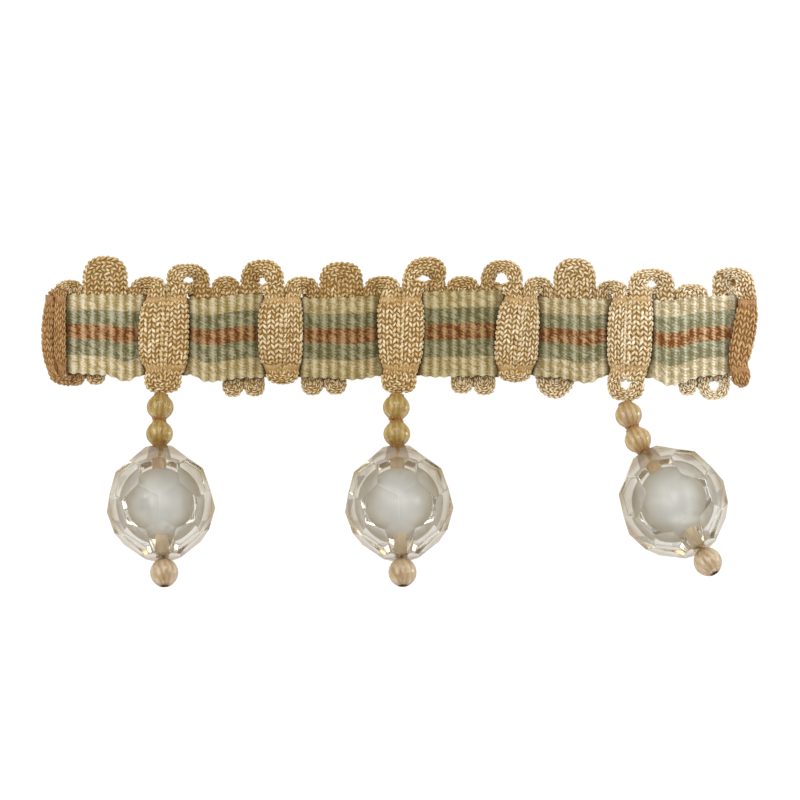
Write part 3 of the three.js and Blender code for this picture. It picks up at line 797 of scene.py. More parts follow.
def lengths_along(path):
    """Length of a path from its first point to each of its points."""
    return np.concatenate([[0], np.cumsum(np.linalg.norm(np.diff(path, axis=0), axis=1))])


def read_between(places, table, spots):
    """Rows of a table, which belong to places, read at other spots between them."""
    return np.stack([np.interp(spots, places, column) for column in table.T], axis=1)


# Ribbon

def ribbon_height(x):
    """Mid-plane of the cloth: down under the tabs, up over the hidden strands, fullest between two tabs."""
    share = np.ones_like(x)
    bulge = np.zeros_like(x)
    for tab in TABS:
        share = np.minimum(share, ease((np.abs(x - tab.x) - tab.dip) / DIP_RAMP))
    for here, after in zip(TABS, TABS[1:]):
        across = (x - here.x) / (after.x - here.x)
        inside = (across > 0) & (across < 1)
        bulge = np.where(inside, np.sin(np.pi * across) ** 2, bulge)
    return RIBBON_LOW_Z + (RIBBON_HIGH_Z - RIBBON_LOW_Z) * share + RIBBON_CROWN * bulge


def ribbon_edge(x, column):
    """One edge of the ribbon, eased between the places of its outline."""
    table = np.array(RIBBON_EDGES)
    places = table[:, 0]
    i = np.clip(np.searchsorted(places, x) - 1, 0, len(places) - 2)
    share = ease((x - places[i]) / (places[i + 1] - places[i]))
    return mix(table[i, column], table[i + 1, column], share)


def ribbon_run():
    """Places evenly spaced along the cloth, with the ribs counted along it, and the whole run."""
    start = RIBBON_EDGES[0][0]
    end = RIBBON_EDGES[-1][0]
    fine = np.linspace(start, end, RUN_STEPS)
    run = lengths_along(np.stack([fine, ribbon_height(fine)], axis=1))
    ribs = round(run[-1] / RIB_PITCH)
    count = ribs * RIB_STEPS + 1
    x = np.interp(np.linspace(0, run[-1], count), run, fine)
    return x, np.linspace(0, ribs, count), run[-1]


def crease_shade_share(x, y):
    """How near places on the ribbon lie to the creases beside the tabs, where painted shade darkens the
    cloth.
    """
    share = np.zeros_like(x)
    for strands in tab_strands():
        forms = [strand_form(rings, y) for rings in strands]
        left = np.min([middle - wide / 2 for middle, _, wide, _ in forms], axis=0)
        right = np.max([middle + wide / 2 for middle, _, wide, _ in forms], axis=0)
        off = np.maximum(np.maximum(left - x, x - right), 0)
        share = np.maximum(share, np.exp(-off / CREASE_SHADE_FADE))
    return share


def sheet_faces(count, wide, narrow):
    """Faces of a closed sheet: front and back, which differ in rows across, two edges and two ends."""
    shift = count * wide
    over = grid_faces(count, wide, False)[:, ::-1]
    under = grid_faces(count, narrow, False) + shift
    rows = np.arange(count - 1)
    foot_front = rows * wide
    foot_back = rows * narrow + shift
    foot_side = np.stack([foot_front, foot_front + wide, foot_back + narrow, foot_back], axis=1)
    top_front = foot_front + wide - 1
    top_back = foot_back + narrow - 1
    top_side = np.stack([top_front, top_back, top_back + narrow, top_front + wide], axis=1)
    left_end = np.concatenate([np.arange(wide), shift + np.arange(narrow)[::-1]])[None, :]
    right_end = np.concatenate([
        shift - wide + np.arange(wide)[::-1],
        shift + (count - 1) * narrow + np.arange(narrow),
    ])[None, :]
    return [over, under, foot_side, top_side, left_end, right_end]


def build_ribbon(finish):
    """Plain weave with thick ribs: two sets of warp floats change places from rib to rib."""
    x, rib, run = ribbon_run()
    ripple = SELVEDGE_RIPPLE * np.cos(2 * np.pi * rib)
    top = ribbon_edge(x, 1) - ripple
    foot = ribbon_edge(x, 2) + ripple
    width = float(np.mean(top - foot))
    floats = round(width / FLOAT_PITCH)
    across = np.linspace(0, 1, floats * FLOAT_STEPS + 1)
    slope = np.gradient(ribbon_height(x), x)
    length = np.hypot(1, slope)
    lean = np.stack([-slope / length, np.zeros_like(x), 1 / length], axis=1)
    middle = np.stack([x, np.zeros_like(x), ribbon_height(x)], axis=1)

    swing = WARP_SWING * np.cos(np.pi * (rib - 0.5))[:, None]
    crest = (np.sin(np.pi * rib) ** 2)[:, None]
    random = np.random.default_rng(RIBBON_SEED)
    stray = np.interp(rib, np.arange(rib[-1] + 1), random.normal(0, FLOAT_STRAY, int(rib[-1]) + 1))
    turn = 2 * np.pi * (floats * across[None, :] + FLOAT_SLANT * rib[:, None]) + stray[:, None]
    wave = FLOAT_ROUND * mix(1, CREST_FLOAT, crest) * np.cos(turn)
    relief = np.maximum(swing + wave, -swing - wave)
    front = middle[:, None, :] + lean[:, None, :] * (WEAVE_TOP + relief)[:, :, None]
    front[:, :, 1] = mix(foot[:, None], top[:, None], across[None, :])
    depth = (relief - relief.min()) / (relief.max() - relief.min())

    rest = np.linspace(0, 1, BACK_ROWS + 1)
    back_rib = BACK_RISE * np.abs(np.sin(np.pi * rib))[:, None]
    back = middle[:, None, :] - lean[:, None, :] * (RIBBON_THICK / 2 - BACK_RISE + back_rib)[:, :, None]
    back = np.repeat(back, len(rest), axis=1)
    back[:, :, 1] = mix(foot[:, None], top[:, None], rest[None, :])
    back_depth = np.repeat(back_rib / BACK_RISE, len(rest), axis=1)

    count = len(x)
    rib_number = np.clip(rib.astype(int), 0, int(rib[-1]) - 1)
    slid = FLOAT_SLANT * (rib - rib_number - 0.5)
    float_number = np.clip(np.floor(across[None, :] * floats + slid[:, None]).astype(int), 0, floats - 1)
    tones = random.random((int(rib[-1]), floats))
    front_tone = tones[rib_number[:, None], float_number]
    plain = np.zeros(count * len(rest))
    values = {
        "across": np.concatenate([np.tile(across, count), np.tile(rest, count)]),
        "depth": np.concatenate([depth.ravel(), back_depth.ravel()]),
        "tone": np.concatenate([front_tone.ravel(), plain + 0.5]),
        # Painted shade in the creases beside the tabs, on the front only
        "crease": np.concatenate([crease_shade_share(front[:, :, 0], front[:, :, 1]).ravel(), plain]),
    }
    points = np.concatenate([front.reshape(-1, 3), back.reshape(-1, 3)])
    piece = mesh_from_arrays("ribbon_cloth", points, sheet_faces(count, len(across), len(rest)), values)
    set_down(piece, [finish], ["ribbon"])


# Cord: strands are counted from the left, and two of each six cross in front of the ribbon

def is_front(strand):
    return strand % 6 in (0, 5)


def head_loop(strand):
    return HEAD_LOOPS[strand // 2]


def foot_loop(strand):
    return FOOT_LOOPS[(strand - 1) // 2]


def level_z(strand):
    return FRONT_LINE_Z if is_front(strand) else BACK_Z


def level_thick(strand):
    return PINCHED_THICK if is_front(strand) else BACK_THICK


def edge_ring(edge, other_edge, z, thick):
    """A ring of the cord between two points of its edges: middle, height, width, thickness and way across."""
    across = np.subtract(edge, other_edge)
    wide = float(np.hypot(*across))
    return (*np.add(edge, other_edge) / 2, z, wide, thick, *across / wide)


def strand_edges(strand):
    """Left and right edges of a strand at the lower line, at its middle and at the upper line."""
    left = strand % 2 == 1
    head = head_loop(strand)
    foot = foot_loop(strand)
    if not is_front(strand):
        low = (-foot.half, -CLOSED_EYE) if left else (CLOSED_EYE, foot.half)
        high = (CLOSED_EYE, head.half) if left else (-head.half, -CLOSED_EYE)
        low = np.array(low) + foot.x
        high = np.array(high) + head.x
        return low, (low + high) / 2, high
    tab = TABS[(strand + 1) // 6]
    left_head = head_loop(strand if left else strand - 1)
    right_head = head_loop(strand + 1 if left else strand)
    top_seam = (left_head.x + left_head.half + right_head.x - right_head.half) / 2
    seams = (foot.x, (foot.x + top_seam) / 2, top_seam)
    edges = []
    for (start, end), seam in zip((tab.foot, tab.middle, tab.top), seams):
        edges.append(np.array((start, seam - STRAND_GAP / 2) if left else (seam + STRAND_GAP / 2, end)))
    return edges


def strand_rings(strand):
    """One strand's rings between the loop below it and the loop above it, from the foot upwards."""
    front = is_front(strand)
    foot, middle, top = strand_edges(strand)
    lowest = foot_loop(strand).base + 2 * EYE_CLOSING
    highest = head_loop(strand).base - 2 * EYE_CLOSING
    rings = []
    for y in FRONT_LEVELS if front else BACK_LEVELS:
        if lowest < y < highest:
            share = (y - FOOT_LINE) / (TOP_LINE - FOOT_LINE)
            belly = 1 - abs(2 * share - 1) ** BELLY_POWER
            start, end = mix(foot, top, share) + (middle - (foot + top) / 2) * belly
            z = mix(FRONT_LINE_Z, FRONT_MIDDLE_Z, belly) if front else BACK_Z
            thick = mix(PINCHED_THICK, CORD_THICK, belly) if front else BACK_THICK
            edges = ((start, y), (end, y)) if strand % 2 == 0 else ((end, y), (start, y))
            rings.append(edge_ring(*edges, z, thick))
    return rings


def fuller(value, full):
    return math.copysign(abs(value) ** (2 / full), value)


def loop_edges(loop):
    """Outer and inner edges of a loop, leg to leg over the tip: the legs close below an eyelet."""
    eye_wide, eye_high = loop.eye or (2 * CLOSED_EYE, CLOSED_EYE)
    reach = loop.tip - loop.base
    way = math.copysign(1, reach)
    edges = []
    for i in range(ARC_STEPS + 1):
        turn = math.pi * i / ARC_STEPS
        across = -math.cos(turn)
        out = math.sin(turn)
        outer_out = fuller(out, loop.full)
        outer_x = loop.x + loop.half * fuller(across, loop.full) + loop.lean * outer_out
        outer = (outer_x, loop.base + reach * outer_out)
        inner = (loop.x + eye_wide / 2 * across, loop.base + way * eye_high * out)
        edges.append((outer, inner))
    if loop.eye:
        level = loop.base - way * EYE_CLOSING
        left, right = [
            ((loop.x + side * loop.half, level), (loop.x + side * CLOSED_EYE, level)) for side in (-1, 1)
        ]
        edges = [left, *edges, right]
    return edges


def head_rings(strand):
    """Rings of the loop above the ribbon that joins a strand to the next one."""
    edges = loop_edges(head_loop(strand))
    rings = []
    for i, (outer, inner) in enumerate(edges):
        place = i / (len(edges) - 1)
        share = float(ease((place - LEVEL_SHARE) / (1 - 2 * LEVEL_SHARE)))
        z = mix(level_z(strand), level_z(strand + 1), share)
        thick = mix(level_thick(strand), level_thick(strand + 1), share)
        rings.append(edge_ring(outer, inner, z, mix(thick, BACK_THICK, math.sin(math.pi * place))))
    return rings


def foot_rings(strand):
    """Rings of the loop below the ribbon that joins a strand to the next one."""
    edges = loop_edges(foot_loop(strand))
    return [edge_ring(inner, outer, level_z(strand), level_thick(strand)) for outer, inner in edges]


def seal_ring(sealed, side):
    """Square end of the clean cord beside a sealed end."""
    x, _, z, wide, thick = sealed
    return edge_ring((x + side * wide / 2, SEAL_START), (x - side * wide / 2, SEAL_START), z, thick)


def gimp_rings():
    """The whole clean cord, from the left seal to the right one."""
    last = 2 * len(HEAD_LOOPS) - 1
    rings = [seal_ring(LEFT_SEALED[-1], -1)]
    for strand in range(0, last, 2):
        rings += head_rings(strand)
        if strand + 1 < last:
            rings += strand_rings(strand + 1)[::-1]
            rings += foot_rings(strand + 1)
            rings += strand_rings(strand + 2)
    rings.append(seal_ring(RIGHT_SEALED[0], 1))
    return rings


def table_rings(table):
    """Rings of a cord that is given by a table, each square to the run of the cord."""
    places = np.array(table)
    along = heading(places[:, :2])
    across = np.stack([-along[:, 1], along[:, 0]], axis=1)
    return np.concatenate([places, across], axis=1)


def joined_row(row):
    """A sealed end's own last row, moved up to where the clean cord begins."""
    x, _, *rest = row
    return (x, SEAL_START, *rest)


def smooth_run(rings):
    """Points evenly spaced along a smooth curve through the rings."""
    table = np.array(rings)
    place = lengths_along(table[:, :3])
    slope = np.gradient(table, place, axis=0)
    count = int(place[-1] / STATION) * 2
    fine = np.linspace(0, place[-1], count)
    i = np.clip(np.searchsorted(place, fine) - 1, 0, len(place) - 2)
    gap = (place[i + 1] - place[i])[:, None]
    t = (fine - place[i])[:, None] / gap
    curve = (
        table[i] * (2 * t**3 - 3 * t**2 + 1)
        + slope[i] * gap * (t**3 - 2 * t**2 + t)
        + table[i + 1] * (3 * t**2 - 2 * t**3)
        + slope[i + 1] * gap * (t**3 - t**2)
    )
    run = lengths_along(curve[:, :3])
    return read_between(run, curve, np.arange(0, run[-1], STATION))


def section(wide, thick):
    """Flattened round section as points evenly spaced along its rim, from the top centre."""
    angle = np.linspace(0, 2 * np.pi, SECTION_FINE)
    power = 2 / SECTION_POWER
    across = np.sign(np.sin(angle)) * np.abs(np.sin(angle)) ** power * wide / 2
    up = np.sign(np.cos(angle)) * np.abs(np.cos(angle)) ** power * thick / 2
    rim = lengths_along(np.stack([across, up], axis=1))
    even = np.linspace(0, rim[-1], SECTION_POINTS, endpoint=False)
    return np.interp(even, rim, across), np.interp(even, rim, up), rim[-1]


class CordSkin:
    """Skin of a cord as a grid of points and normals, along the cord and round it."""

    def __init__(self, rings):
        run = smooth_run(rings)
        self.count = len(run)
        centres = run[:, :3]
        across = unit(np.stack([run[:, 5], run[:, 6], np.zeros(self.count)], axis=1))
        forms = [section(max(wide, LEAST_FLATNESS * thick), thick) for wide, thick in run[:, 3:5]]
        side = np.stack([form[0] for form in forms])
        rise = np.stack([form[1] for form in forms])
        self.rim = np.array([form[2] for form in forms])
        self.points = (
            centres[:, None, :]
            + across[:, None, :] * side[:, :, None]
            + UP * rise[:, :, None]
        )
        round_it = np.roll(self.points, -1, axis=1) - np.roll(self.points, 1, axis=1)
        self.normals = unit(np.cross(heading(centres)[:, None, :], round_it))

    def at(self, run, turn):
        """Points and normals at lengths along the cord and shares of a turn round it."""
        row = np.clip(run / STATION, 0, self.count - 1.001)
        column = (turn % 1.0) * SECTION_POINTS
        i = row.astype(int)
        k = column.astype(int) % SECTION_POINTS
        after = (k + 1) % SECTION_POINTS
        down = (row - i)[..., None]
        over = (column - np.floor(column))[..., None]
        found = []
        for grid in (self.points, self.normals):
            near = mix(grid[i, k], grid[i, after], over)
            far = mix(grid[i + 1, k], grid[i + 1, after], over)
            found.append(mix(near, far, down))
        return found


def seal_share(points, sealed):
    """How far glue has browned the cord: all of a sealed end, and the clean cord near its two ends."""
    if sealed:
        return np.ones(len(points))
    x = points[:, 0]
    y = points[:, 1]
    stains = []
    for way, edge_x, fade_x, edge_y, fade_y, strength in SEAL_STAINS:
        stains.append(strength * ease(way * (x - edge_x) / fade_x) * ease((edge_y - y) / fade_y))
    return np.max(stains, axis=0)


def unshaded_share(points):
    """How far loops that lie low are spared their painted shade: only those along the middle of the head are
    painted darker.
    """
    shares = []
    for axis, way, start, fade, strength in UNSHADED_PLACES:
        shares.append(strength * ease(way * (points[:, axis] - start) / fade))
    return np.max(shares, axis=0)


def band_lines(x):
    """Levels of the two bands at places along the trim: the right sealed end carries them lower."""
    drop = np.where(np.asarray(x) > RIGHT_BAND_X, RIGHT_BAND_DROP, 0.0)
    return [line - drop for line in BAND_LINES]


def pinch_share(points):
    """How near places on the front strands lie to the bands that pinch them."""
    x, y, z = points.T
    off = np.min([np.abs(y - line) for line in band_lines(x)], axis=0)
    return np.where(z > FRONT_LEAST_Z, np.exp(-(off / PINCH_FADE) ** 2), 0.0)


def start_shape(primitive, **sizes):
    """Adds a primitive, the only thing selected, as the start of a shape."""
    bpy.ops.object.select_all(action="DESELECT")
    primitive(**sizes)
    return bpy.context.object


def edit_shape():
    bpy.ops.object.mode_set(mode="EDIT")
    bpy.ops.mesh.select_all(action="SELECT")


def close_shape():
    """Turns every face outwards and leaves edit mode."""
    bpy.ops.mesh.select_all(action="SELECT")
    bpy.ops.mesh.normals_make_consistent(inside=False)
    bpy.ops.object.mode_set(mode="OBJECT")


def model_leg():
    """One leg of a knit stitch: a grain of yarn, long along X, with its crown along +Z."""
    sphere = bpy.ops.mesh.primitive_uv_sphere_add
    leg = start_shape(sphere, segments=LEG_SEGMENTS, ring_count=LEG_RINGS, radius=1.0)
    edit_shape()
    bpy.ops.transform.rotate(value=math.pi / 2, orient_axis="Y", center_override=(0, 0, 0))
    close_shape()
    points = np.array([vertex.co for vertex in leg.data.vertices])
    quads = np.array([face.vertices for face in leg.data.polygons if len(face.vertices) == 4])
    wedges = np.array([face.vertices for face in leg.data.polygons if len(face.vertices) == 3])
    bpy.data.objects.remove(leg)
    return points, quads, wedges


def stitch_places(skin, random, wales, course):
    """Run, column, leg and stretch of each leg: stitches are evenly spaced along each column's own path."""
    fine = np.arange(skin.count) * STATION
    places = []
    for wale in range(wales):
        arc = lengths_along(skin.at(fine, np.full(skin.count, wale / wales))[0])
        spots = np.arange((random.random() - 0.5) * course, arc[-1] + course / 2, course)
        run = np.interp(spots, arc, fine)
        stretch = np.clip(np.interp(run, fine, np.gradient(arc, STATION)), *STRETCH_LIMITS)
        for side in (-1, 1):
            shaken = run + random.normal(0, UNEVEN["run"], len(run)) / stretch
            places.append(np.stack([shaken, np.full(len(run), wale), np.full(len(run), side), stretch]))
    found = np.concatenate(places, axis=1)
    return found[:, np.argsort(found[0], kind="stable")]


def knit(skin, leg, sealed, seed, wales, pieces=1):
    """V stitches all round a cord, as the parts of a mesh: each part is a share of the length."""
    shape, quads, wedges = leg
    random = np.random.default_rng(seed)
    course = SEALED_COURSE if sealed else COURSE
    run, wale, side, stretch = stitch_places(skin, random, wales, course)
    total = len(run)

    def chance(measure):
        return random.normal(0, UNEVEN[measure], total)

    rim = np.interp(run, np.arange(skin.count) * STATION, skin.rim)
    half_wale = 0.5 / wales
    turn = wale / wales + side * half_wale * (0.5 + chance("turn"))
    slant = LEG_SLANT * half_wale * (1 + chance("slant"))
    fill = LEG_FILL * half_wale / 2 * (1 + chance("fill"))
    middle = skin.at(run, turn)[0]
    pinch = pinch_share(middle)
    lift = LEG_LIFT + chance("lift") - PINCH_SINK * pinch
    low = (FRONT_LINE_Z - middle[:, 2]) / (FRONT_LINE_Z - BACK_Z)
    marked = (1 - PINCH_DULL * pinch) * (1 - LOW_EVEN * np.clip(low, 0, 1)) * (1 - SEALED_EVEN * sealed)
    # Painted shade: stitches that lie low are painted darker, except where they are spared
    low_shade = LOW_SHADE * low * (1 - unshaded_share(middle))
    tone = np.clip(0.5 + marked * chance("tone") - low_shade, 0, 1)
    reach = LEG_REACH * course / 2 * (1 + chance("reach")) / stretch
    slim = np.clip(WALES / wales * rim / USUAL_RIM, *SLIM_LIMITS) * (1 - PINCH_FLAT * pinch)

    a, b, c = shape.T
    lengths = run[:, None] + a * reach[:, None]
    turns = turn[:, None] + side[:, None] * (a * slant[:, None] / 2) + b * fill[:, None]
    place, normal = skin.at(lengths, turns)
    bow = lift[:, None] - LEG_DIP * a**2 - CORE_INSET / 2
    height = SEALED_HEIGHT if sealed else 1.0
    high = height * (bow + slim[:, None] * LEG_HALF_HIGH * c)
    points = place + normal * high[:, :, None]
    # Painted highlight along each leg's top and painted shade at its ends and sides, evened out near the
    # bands
    crown = np.clip((CROWN_LEVEL + CROWN_RISE * c) * (1 - CROWN_FALL * a**2), 0, 1)
    crown = mix(PINCHED_CROWN, crown[None, :], marked[:, None])

    parts = []
    for share in np.array_split(np.arange(total), pieces):
        shift = (np.arange(len(share)) * len(shape))[:, None, None]
        chosen = points[share].reshape(-1, 3)
        values = {
            "crown": crown[share].ravel(),
            "tone": np.repeat(tone[share], len(shape)),
            "seal": seal_share(chosen, sealed),
        }
        faces = [(quads[None] + shift).reshape(-1, 4), (wedges[None] + shift).reshape(-1, 3)]
        parts.append((chosen, faces, values))
    return parts


def core_part(skin, sealed):
    """The inside of the knit, a little below the stitches, closed at both ends."""
    rows = np.arange(0, skin.count, CORE_STEP)
    rows[-1] = skin.count - 1
    columns = np.arange(0, SECTION_POINTS, SECTION_POINTS // CORE_SIDES)
    points = (skin.points - skin.normals * CORE_INSET)[np.ix_(rows, columns)].reshape(-1, 3)
    sides = grid_faces(len(rows), CORE_SIDES, True)
    first = np.arange(CORE_SIDES)[None, ::-1]
    last = (len(points) - CORE_SIDES + np.arange(CORE_SIDES))[None, :]
    return points, [sides, first, last], {"seal": seal_share(points, sealed)}


def build_cord(name, rings, leg, finishes, node, seed, sealed=False):
    """A knitted cord: its core, which stands for the solid, and the stitches on it."""
    skin = CordSkin(rings)
    core = join_parts(f"{name}_core", [core_part(skin, sealed)])
    set_down(core, [finishes["core"]], [node])
    wales = SEALED_WALES if sealed else WALES
    pieces = 1 if sealed else KNIT_PIECES
    for number, part in enumerate(knit(skin, leg, sealed, seed, wales, pieces), start=1):
        set_down(join_parts(f"{name}_stitches_{number}", [part]), [finishes["yarn"]])


# Seams and bands

def tab_seams():
    """Yarn between the two strands of each tab, which read as one knitted band."""
    seams = []
    for tab in range(1, len(TABS) - 1):
        rows = []
        for x, y, z, wide, thick, *_ in strand_rings(6 * tab):
            rows.append((x - wide / 2 - STRAND_GAP / 2, y, z, SEAM_WIDE, TAB_SEAM_THICK * thick))
        seams.append(rows)
    return seams


def eye_seams():
    """Yarn that closes each loop between its two legs, up to its eyelet where it has one."""
    seams = []
    short = EYE_CLOSING + EYE_MARGIN
    for number, loop in enumerate(HEAD_LOOPS):
        end = loop.base - short if loop.eye else loop.base + SEAM_OVERLAP
        z = (level_z(2 * number) + level_z(2 * number + 1)) / 2
        start = TOP_LINE - SEAM_OVERLAP if z == BACK_Z else TOP_LINE + SEAM_OVERLAP
        seams.append([(loop.x, y, z, SEAM_WIDE, EYE_SEAM_THICK * BACK_THICK) for y in (start, end)])
    for number, loop in enumerate(FOOT_LOOPS):
        strand = 2 * number + 1
        end = loop.base + short if loop.eye else loop.base - SEAM_OVERLAP
        top = FOOT_LINE + (TAB_SEAM_RISE if is_front(strand) else SEAM_OVERLAP)
        z = level_z(strand)
        seams.append([(loop.x, y, z, SEAM_WIDE, EYE_SEAM_THICK * level_thick(strand)) for y in (end, top)])
    return seams


def notch_shade_seams():
    """Dark yarn at the bottom of the notches between neighbouring loops, a painted shade that stands for the
    shade there.
    """
    seams = []
    sides = ((HEAD_LOOPS, TOP_LINE - SEAM_OVERLAP, 1), (FOOT_LOOPS, FOOT_LINE + SEAM_OVERLAP, -1))
    for loops, start, way in sides:
        for number, (here, after) in enumerate(zip(loops, loops[1:])):
            left = here.x + here.half
            right = after.x - after.half
            in_tab = way > 0 and is_front(2 * number + 1)
            z = FRONT_LINE_Z - NOTCH_SINK if in_tab else NOTCH_BACK_Z
            if right - left < NOTCH_REACH:
                end = way * (min(way * here.base, way * after.base) + NOTCH_RISE)
                ends = sorted((start, end))
                seams.append([((left + right) / 2, y, z, NOTCH_WIDE, NOTCH_THICK) for y in ends])
    return seams


def build_seams(leg, finishes):
    """Stitched yarn in the seams of tabs and loops, and plain dark yarn in the notches, the last eyelet and
    the ends, as painted shade.
    """
    stitched = [CordSkin(table_rings(rows)) for rows in tab_seams() + eye_seams() + LEFT_TIES]
    # The plain pieces take the dark core finish: painted shade in the notches, the last eyelet, the right
    # end's corner and the left end's slit
    plain = [CordSkin(table_rings(rows)) for rows in notch_shade_seams() + END_SHADE_FILLERS]
    core = join_parts("seam_core", [core_part(skin, False) for skin in stitched + plain])
    set_down(core, [finishes["core"]])
    legs = [knit(skin, leg, False, number, SEAM_WALES)[0] for number, skin in enumerate(stitched)]
    set_down(join_parts("seam_stitches", legs), [finishes["yarn"]])


def strand_form(rings, y):
    """Middle, height, width and thickness of an upright strand at each of some levels."""
    table = np.array(sorted(rings, key=lambda ring: ring[1]))
    return [np.interp(y, table[:, 1], table[:, k]) for k in (0, 2, 3, 4)]


def tab_strands():
    """The rings of the strands that make each tab: two for most, the sealed cord at either end."""
    left_half = len(LEFT_SEALED) // 2
    tabs = [[LEFT_SEALED[: left_half + 1], LEFT_SEALED[left_half:]]]
    for strand in range(6, 6 * (len(TABS) - 1), 6):
        foot = foot_rings(strand - 1)
        left = [foot[0], *strand_rings(strand - 1), head_rings(strand - 2)[-1]]
        right = [foot[-1], *strand_rings(strand), head_rings(strand)[0]]
        tabs.append([left, right])
    tabs.append([RIGHT_SEALED])
    return tabs


def band_part(rings, line, seal, random):
    """One soft band over a strand: proud along its middle, sunk among the stitches at its rim."""
    across = np.linspace(-1, 1, BAND_COLUMNS)[None, :]
    along = np.linspace(-1, 1, BAND_ROWS)[:, None]
    knots = np.linspace(-1, 1, BAND_KNOTS)
    sway = np.interp(across, knots, random.normal(0, BAND_SWAY, BAND_KNOTS))
    half_high = BAND_HALF_HIGH * (1 + np.interp(across, knots, random.normal(0, BAND_UNEVEN, BAND_KNOTS)))
    y = line + sway + along * half_high
    x, z, wide, thick = strand_form(rings, y)
    rise = (1 - np.abs(across) ** SECTION_POWER) ** (1 / SECTION_POWER)
    proud = mix(BAND_RISE, -BAND_SINK, np.maximum(np.abs(along), np.abs(across) ** 4) ** 2)
    spots = np.stack([x + across * wide / 2, y, z + thick / 2 * rise + proud], axis=-1)
    faces = grid_faces(BAND_ROWS, BAND_COLUMNS, False)
    return spots.reshape(-1, 3), [faces], {"seal": np.full(BAND_ROWS * BAND_COLUMNS, seal)}


def build_bands(finish):
    """Smooth bands that pinch the strands of each tab near both edges of the ribbon."""
    random = np.random.default_rng(BAND_SEED)
    tabs = tab_strands()
    parts = []
    for number, strands in enumerate(tabs):
        seal = 1.0 if number in (0, len(tabs) - 1) else 0.0
        for line in band_lines(TABS[number].x):
            parts += [band_part(rings, line, seal, random) for rings in strands]
    bands = join_parts("binding_bands", parts)
    bpy.ops.object.select_all(action="DESELECT")
    bpy.context.view_layer.objects.active = bands
    bpy.ops.object.modifier_add(type="SOLIDIFY")
    body = bands.modifiers[-1]
    body.thickness = BAND_THICK * MM
    bpy.ops.object.modifier_apply(modifier=body.name)
    set_down(bands, [finish])


# Threads

def tube(path, radius, sides):
    """A round thread along a path of points: its points and faces, with closed ends."""
    along = heading(path)
    level = unit(np.cross(along, THREAD_SIDEWAYS))
    up = np.cross(level, along)
    angle = np.arange(sides) * 2 * np.pi / sides
    ring = np.cos(angle)[None, :, None] * level[:, None, :] + np.sin(angle)[None, :, None] * up[:, None, :]
    points = (path[:, None, :] + radius * ring).reshape(-1, 3)
    ends = np.stack([np.arange(sides), (len(points) - sides + np.arange(sides))[::-1]])
    return points, [grid_faces(len(path), sides, True)[:, ::-1], ends], {}


def thread_tubes(line):
    """Two plies twisted round each other along a straight-sided line of points."""
    points = np.array([tuple(point) for point in line])
    place = lengths_along(points)
    fine = np.arange(0, place[-1], THREAD_STEP)
    path = read_between(place, points, fine)
    along = heading(path)
    side = unit(np.cross(along, UP))
    up = np.cross(side, along)
    tubes = []
    for ply in (0, 1):
        turn = 2 * np.pi * fine / THREAD_TWIST + math.pi * ply
        offset = np.cos(turn)[:, None] * side + np.sin(turn)[:, None] * up
        tubes.append(tube(path + offset * THREAD_RADIUS / 2, THREAD_RADIUS / 2, THREAD_SIDES))
    return tubes


# Drops

def rest_pose():
    """Tilt at which one waist facet lies flat on the table, and the crystal's height then."""
    tilt = math.atan(math.tan(WAIST_LATITUDE) / CRYSTAL_STRETCH)
    reach = math.hypot(math.cos(WAIST_LATITUDE), math.sin(WAIST_LATITUDE) / CRYSTAL_STRETCH)
    return tilt, CRYSTAL_RADIUS / reach


def drop_places(drop):
    """A drop's bead centres in space: the string is straight and level with the crystal's tilt."""
    tilt, height = rest_pose()
    climb = math.tan(tilt)
    to_lower = math.dist(drop.crystal, drop.lower)
    to_upper = to_lower + math.dist(drop.lower, drop.upper)
    to_end = math.dist(drop.crystal, drop.end)
    return {
        "loop": Vector((drop.loop.x, drop.loop.tip, FRONT_LINE_Z)),
        "upper": Vector((*drop.upper, height - climb * to_upper)),
        "lower": Vector((*drop.lower, height - climb * to_lower)),
        "crystal": Vector((*drop.crystal, height)),
        "end": Vector((*drop.end, height + climb * to_end)),
    }


def pose(direction, place):
    """Turns a shape's Z axis onto a direction, with its X axis kept as low as it can be."""
    axis = direction.normalized()
    low = (Vector((0, 0, -1)) + axis * axis.z).normalized()
    side = axis.cross(low)
    turn = Matrix((low, side, axis)).transposed().to_4x4()
    return Matrix.Translation(place) @ turn


def pick(kind, test):
    """Selects the faces, edges or vertices of the piece in hand that pass a test."""
    bpy.ops.mesh.select_all(action="DESELECT")
    bpy.ops.mesh.select_mode(type=kind)
    shape = bmesh.from_edit_mesh(bpy.context.object.data)
    parts = {"VERT": shape.verts, "EDGE": shape.edges, "FACE": shape.faces}[kind]
    for part in parts:
        if test(part):
            part.select_set(True)
    shape.select_flush_mode()
    bmesh.update_edit_mesh(bpy.context.object.data)


def on_meridian(spot, segments, step):
    """Whether a point of a bead lies on a groove's meridian of this step."""
    place = round(math.atan2(spot.y, spot.x) / (2 * math.pi) * segments)
    return spot.xy.length > NEAR_AXIS and place % FLUTE_STEPS == step


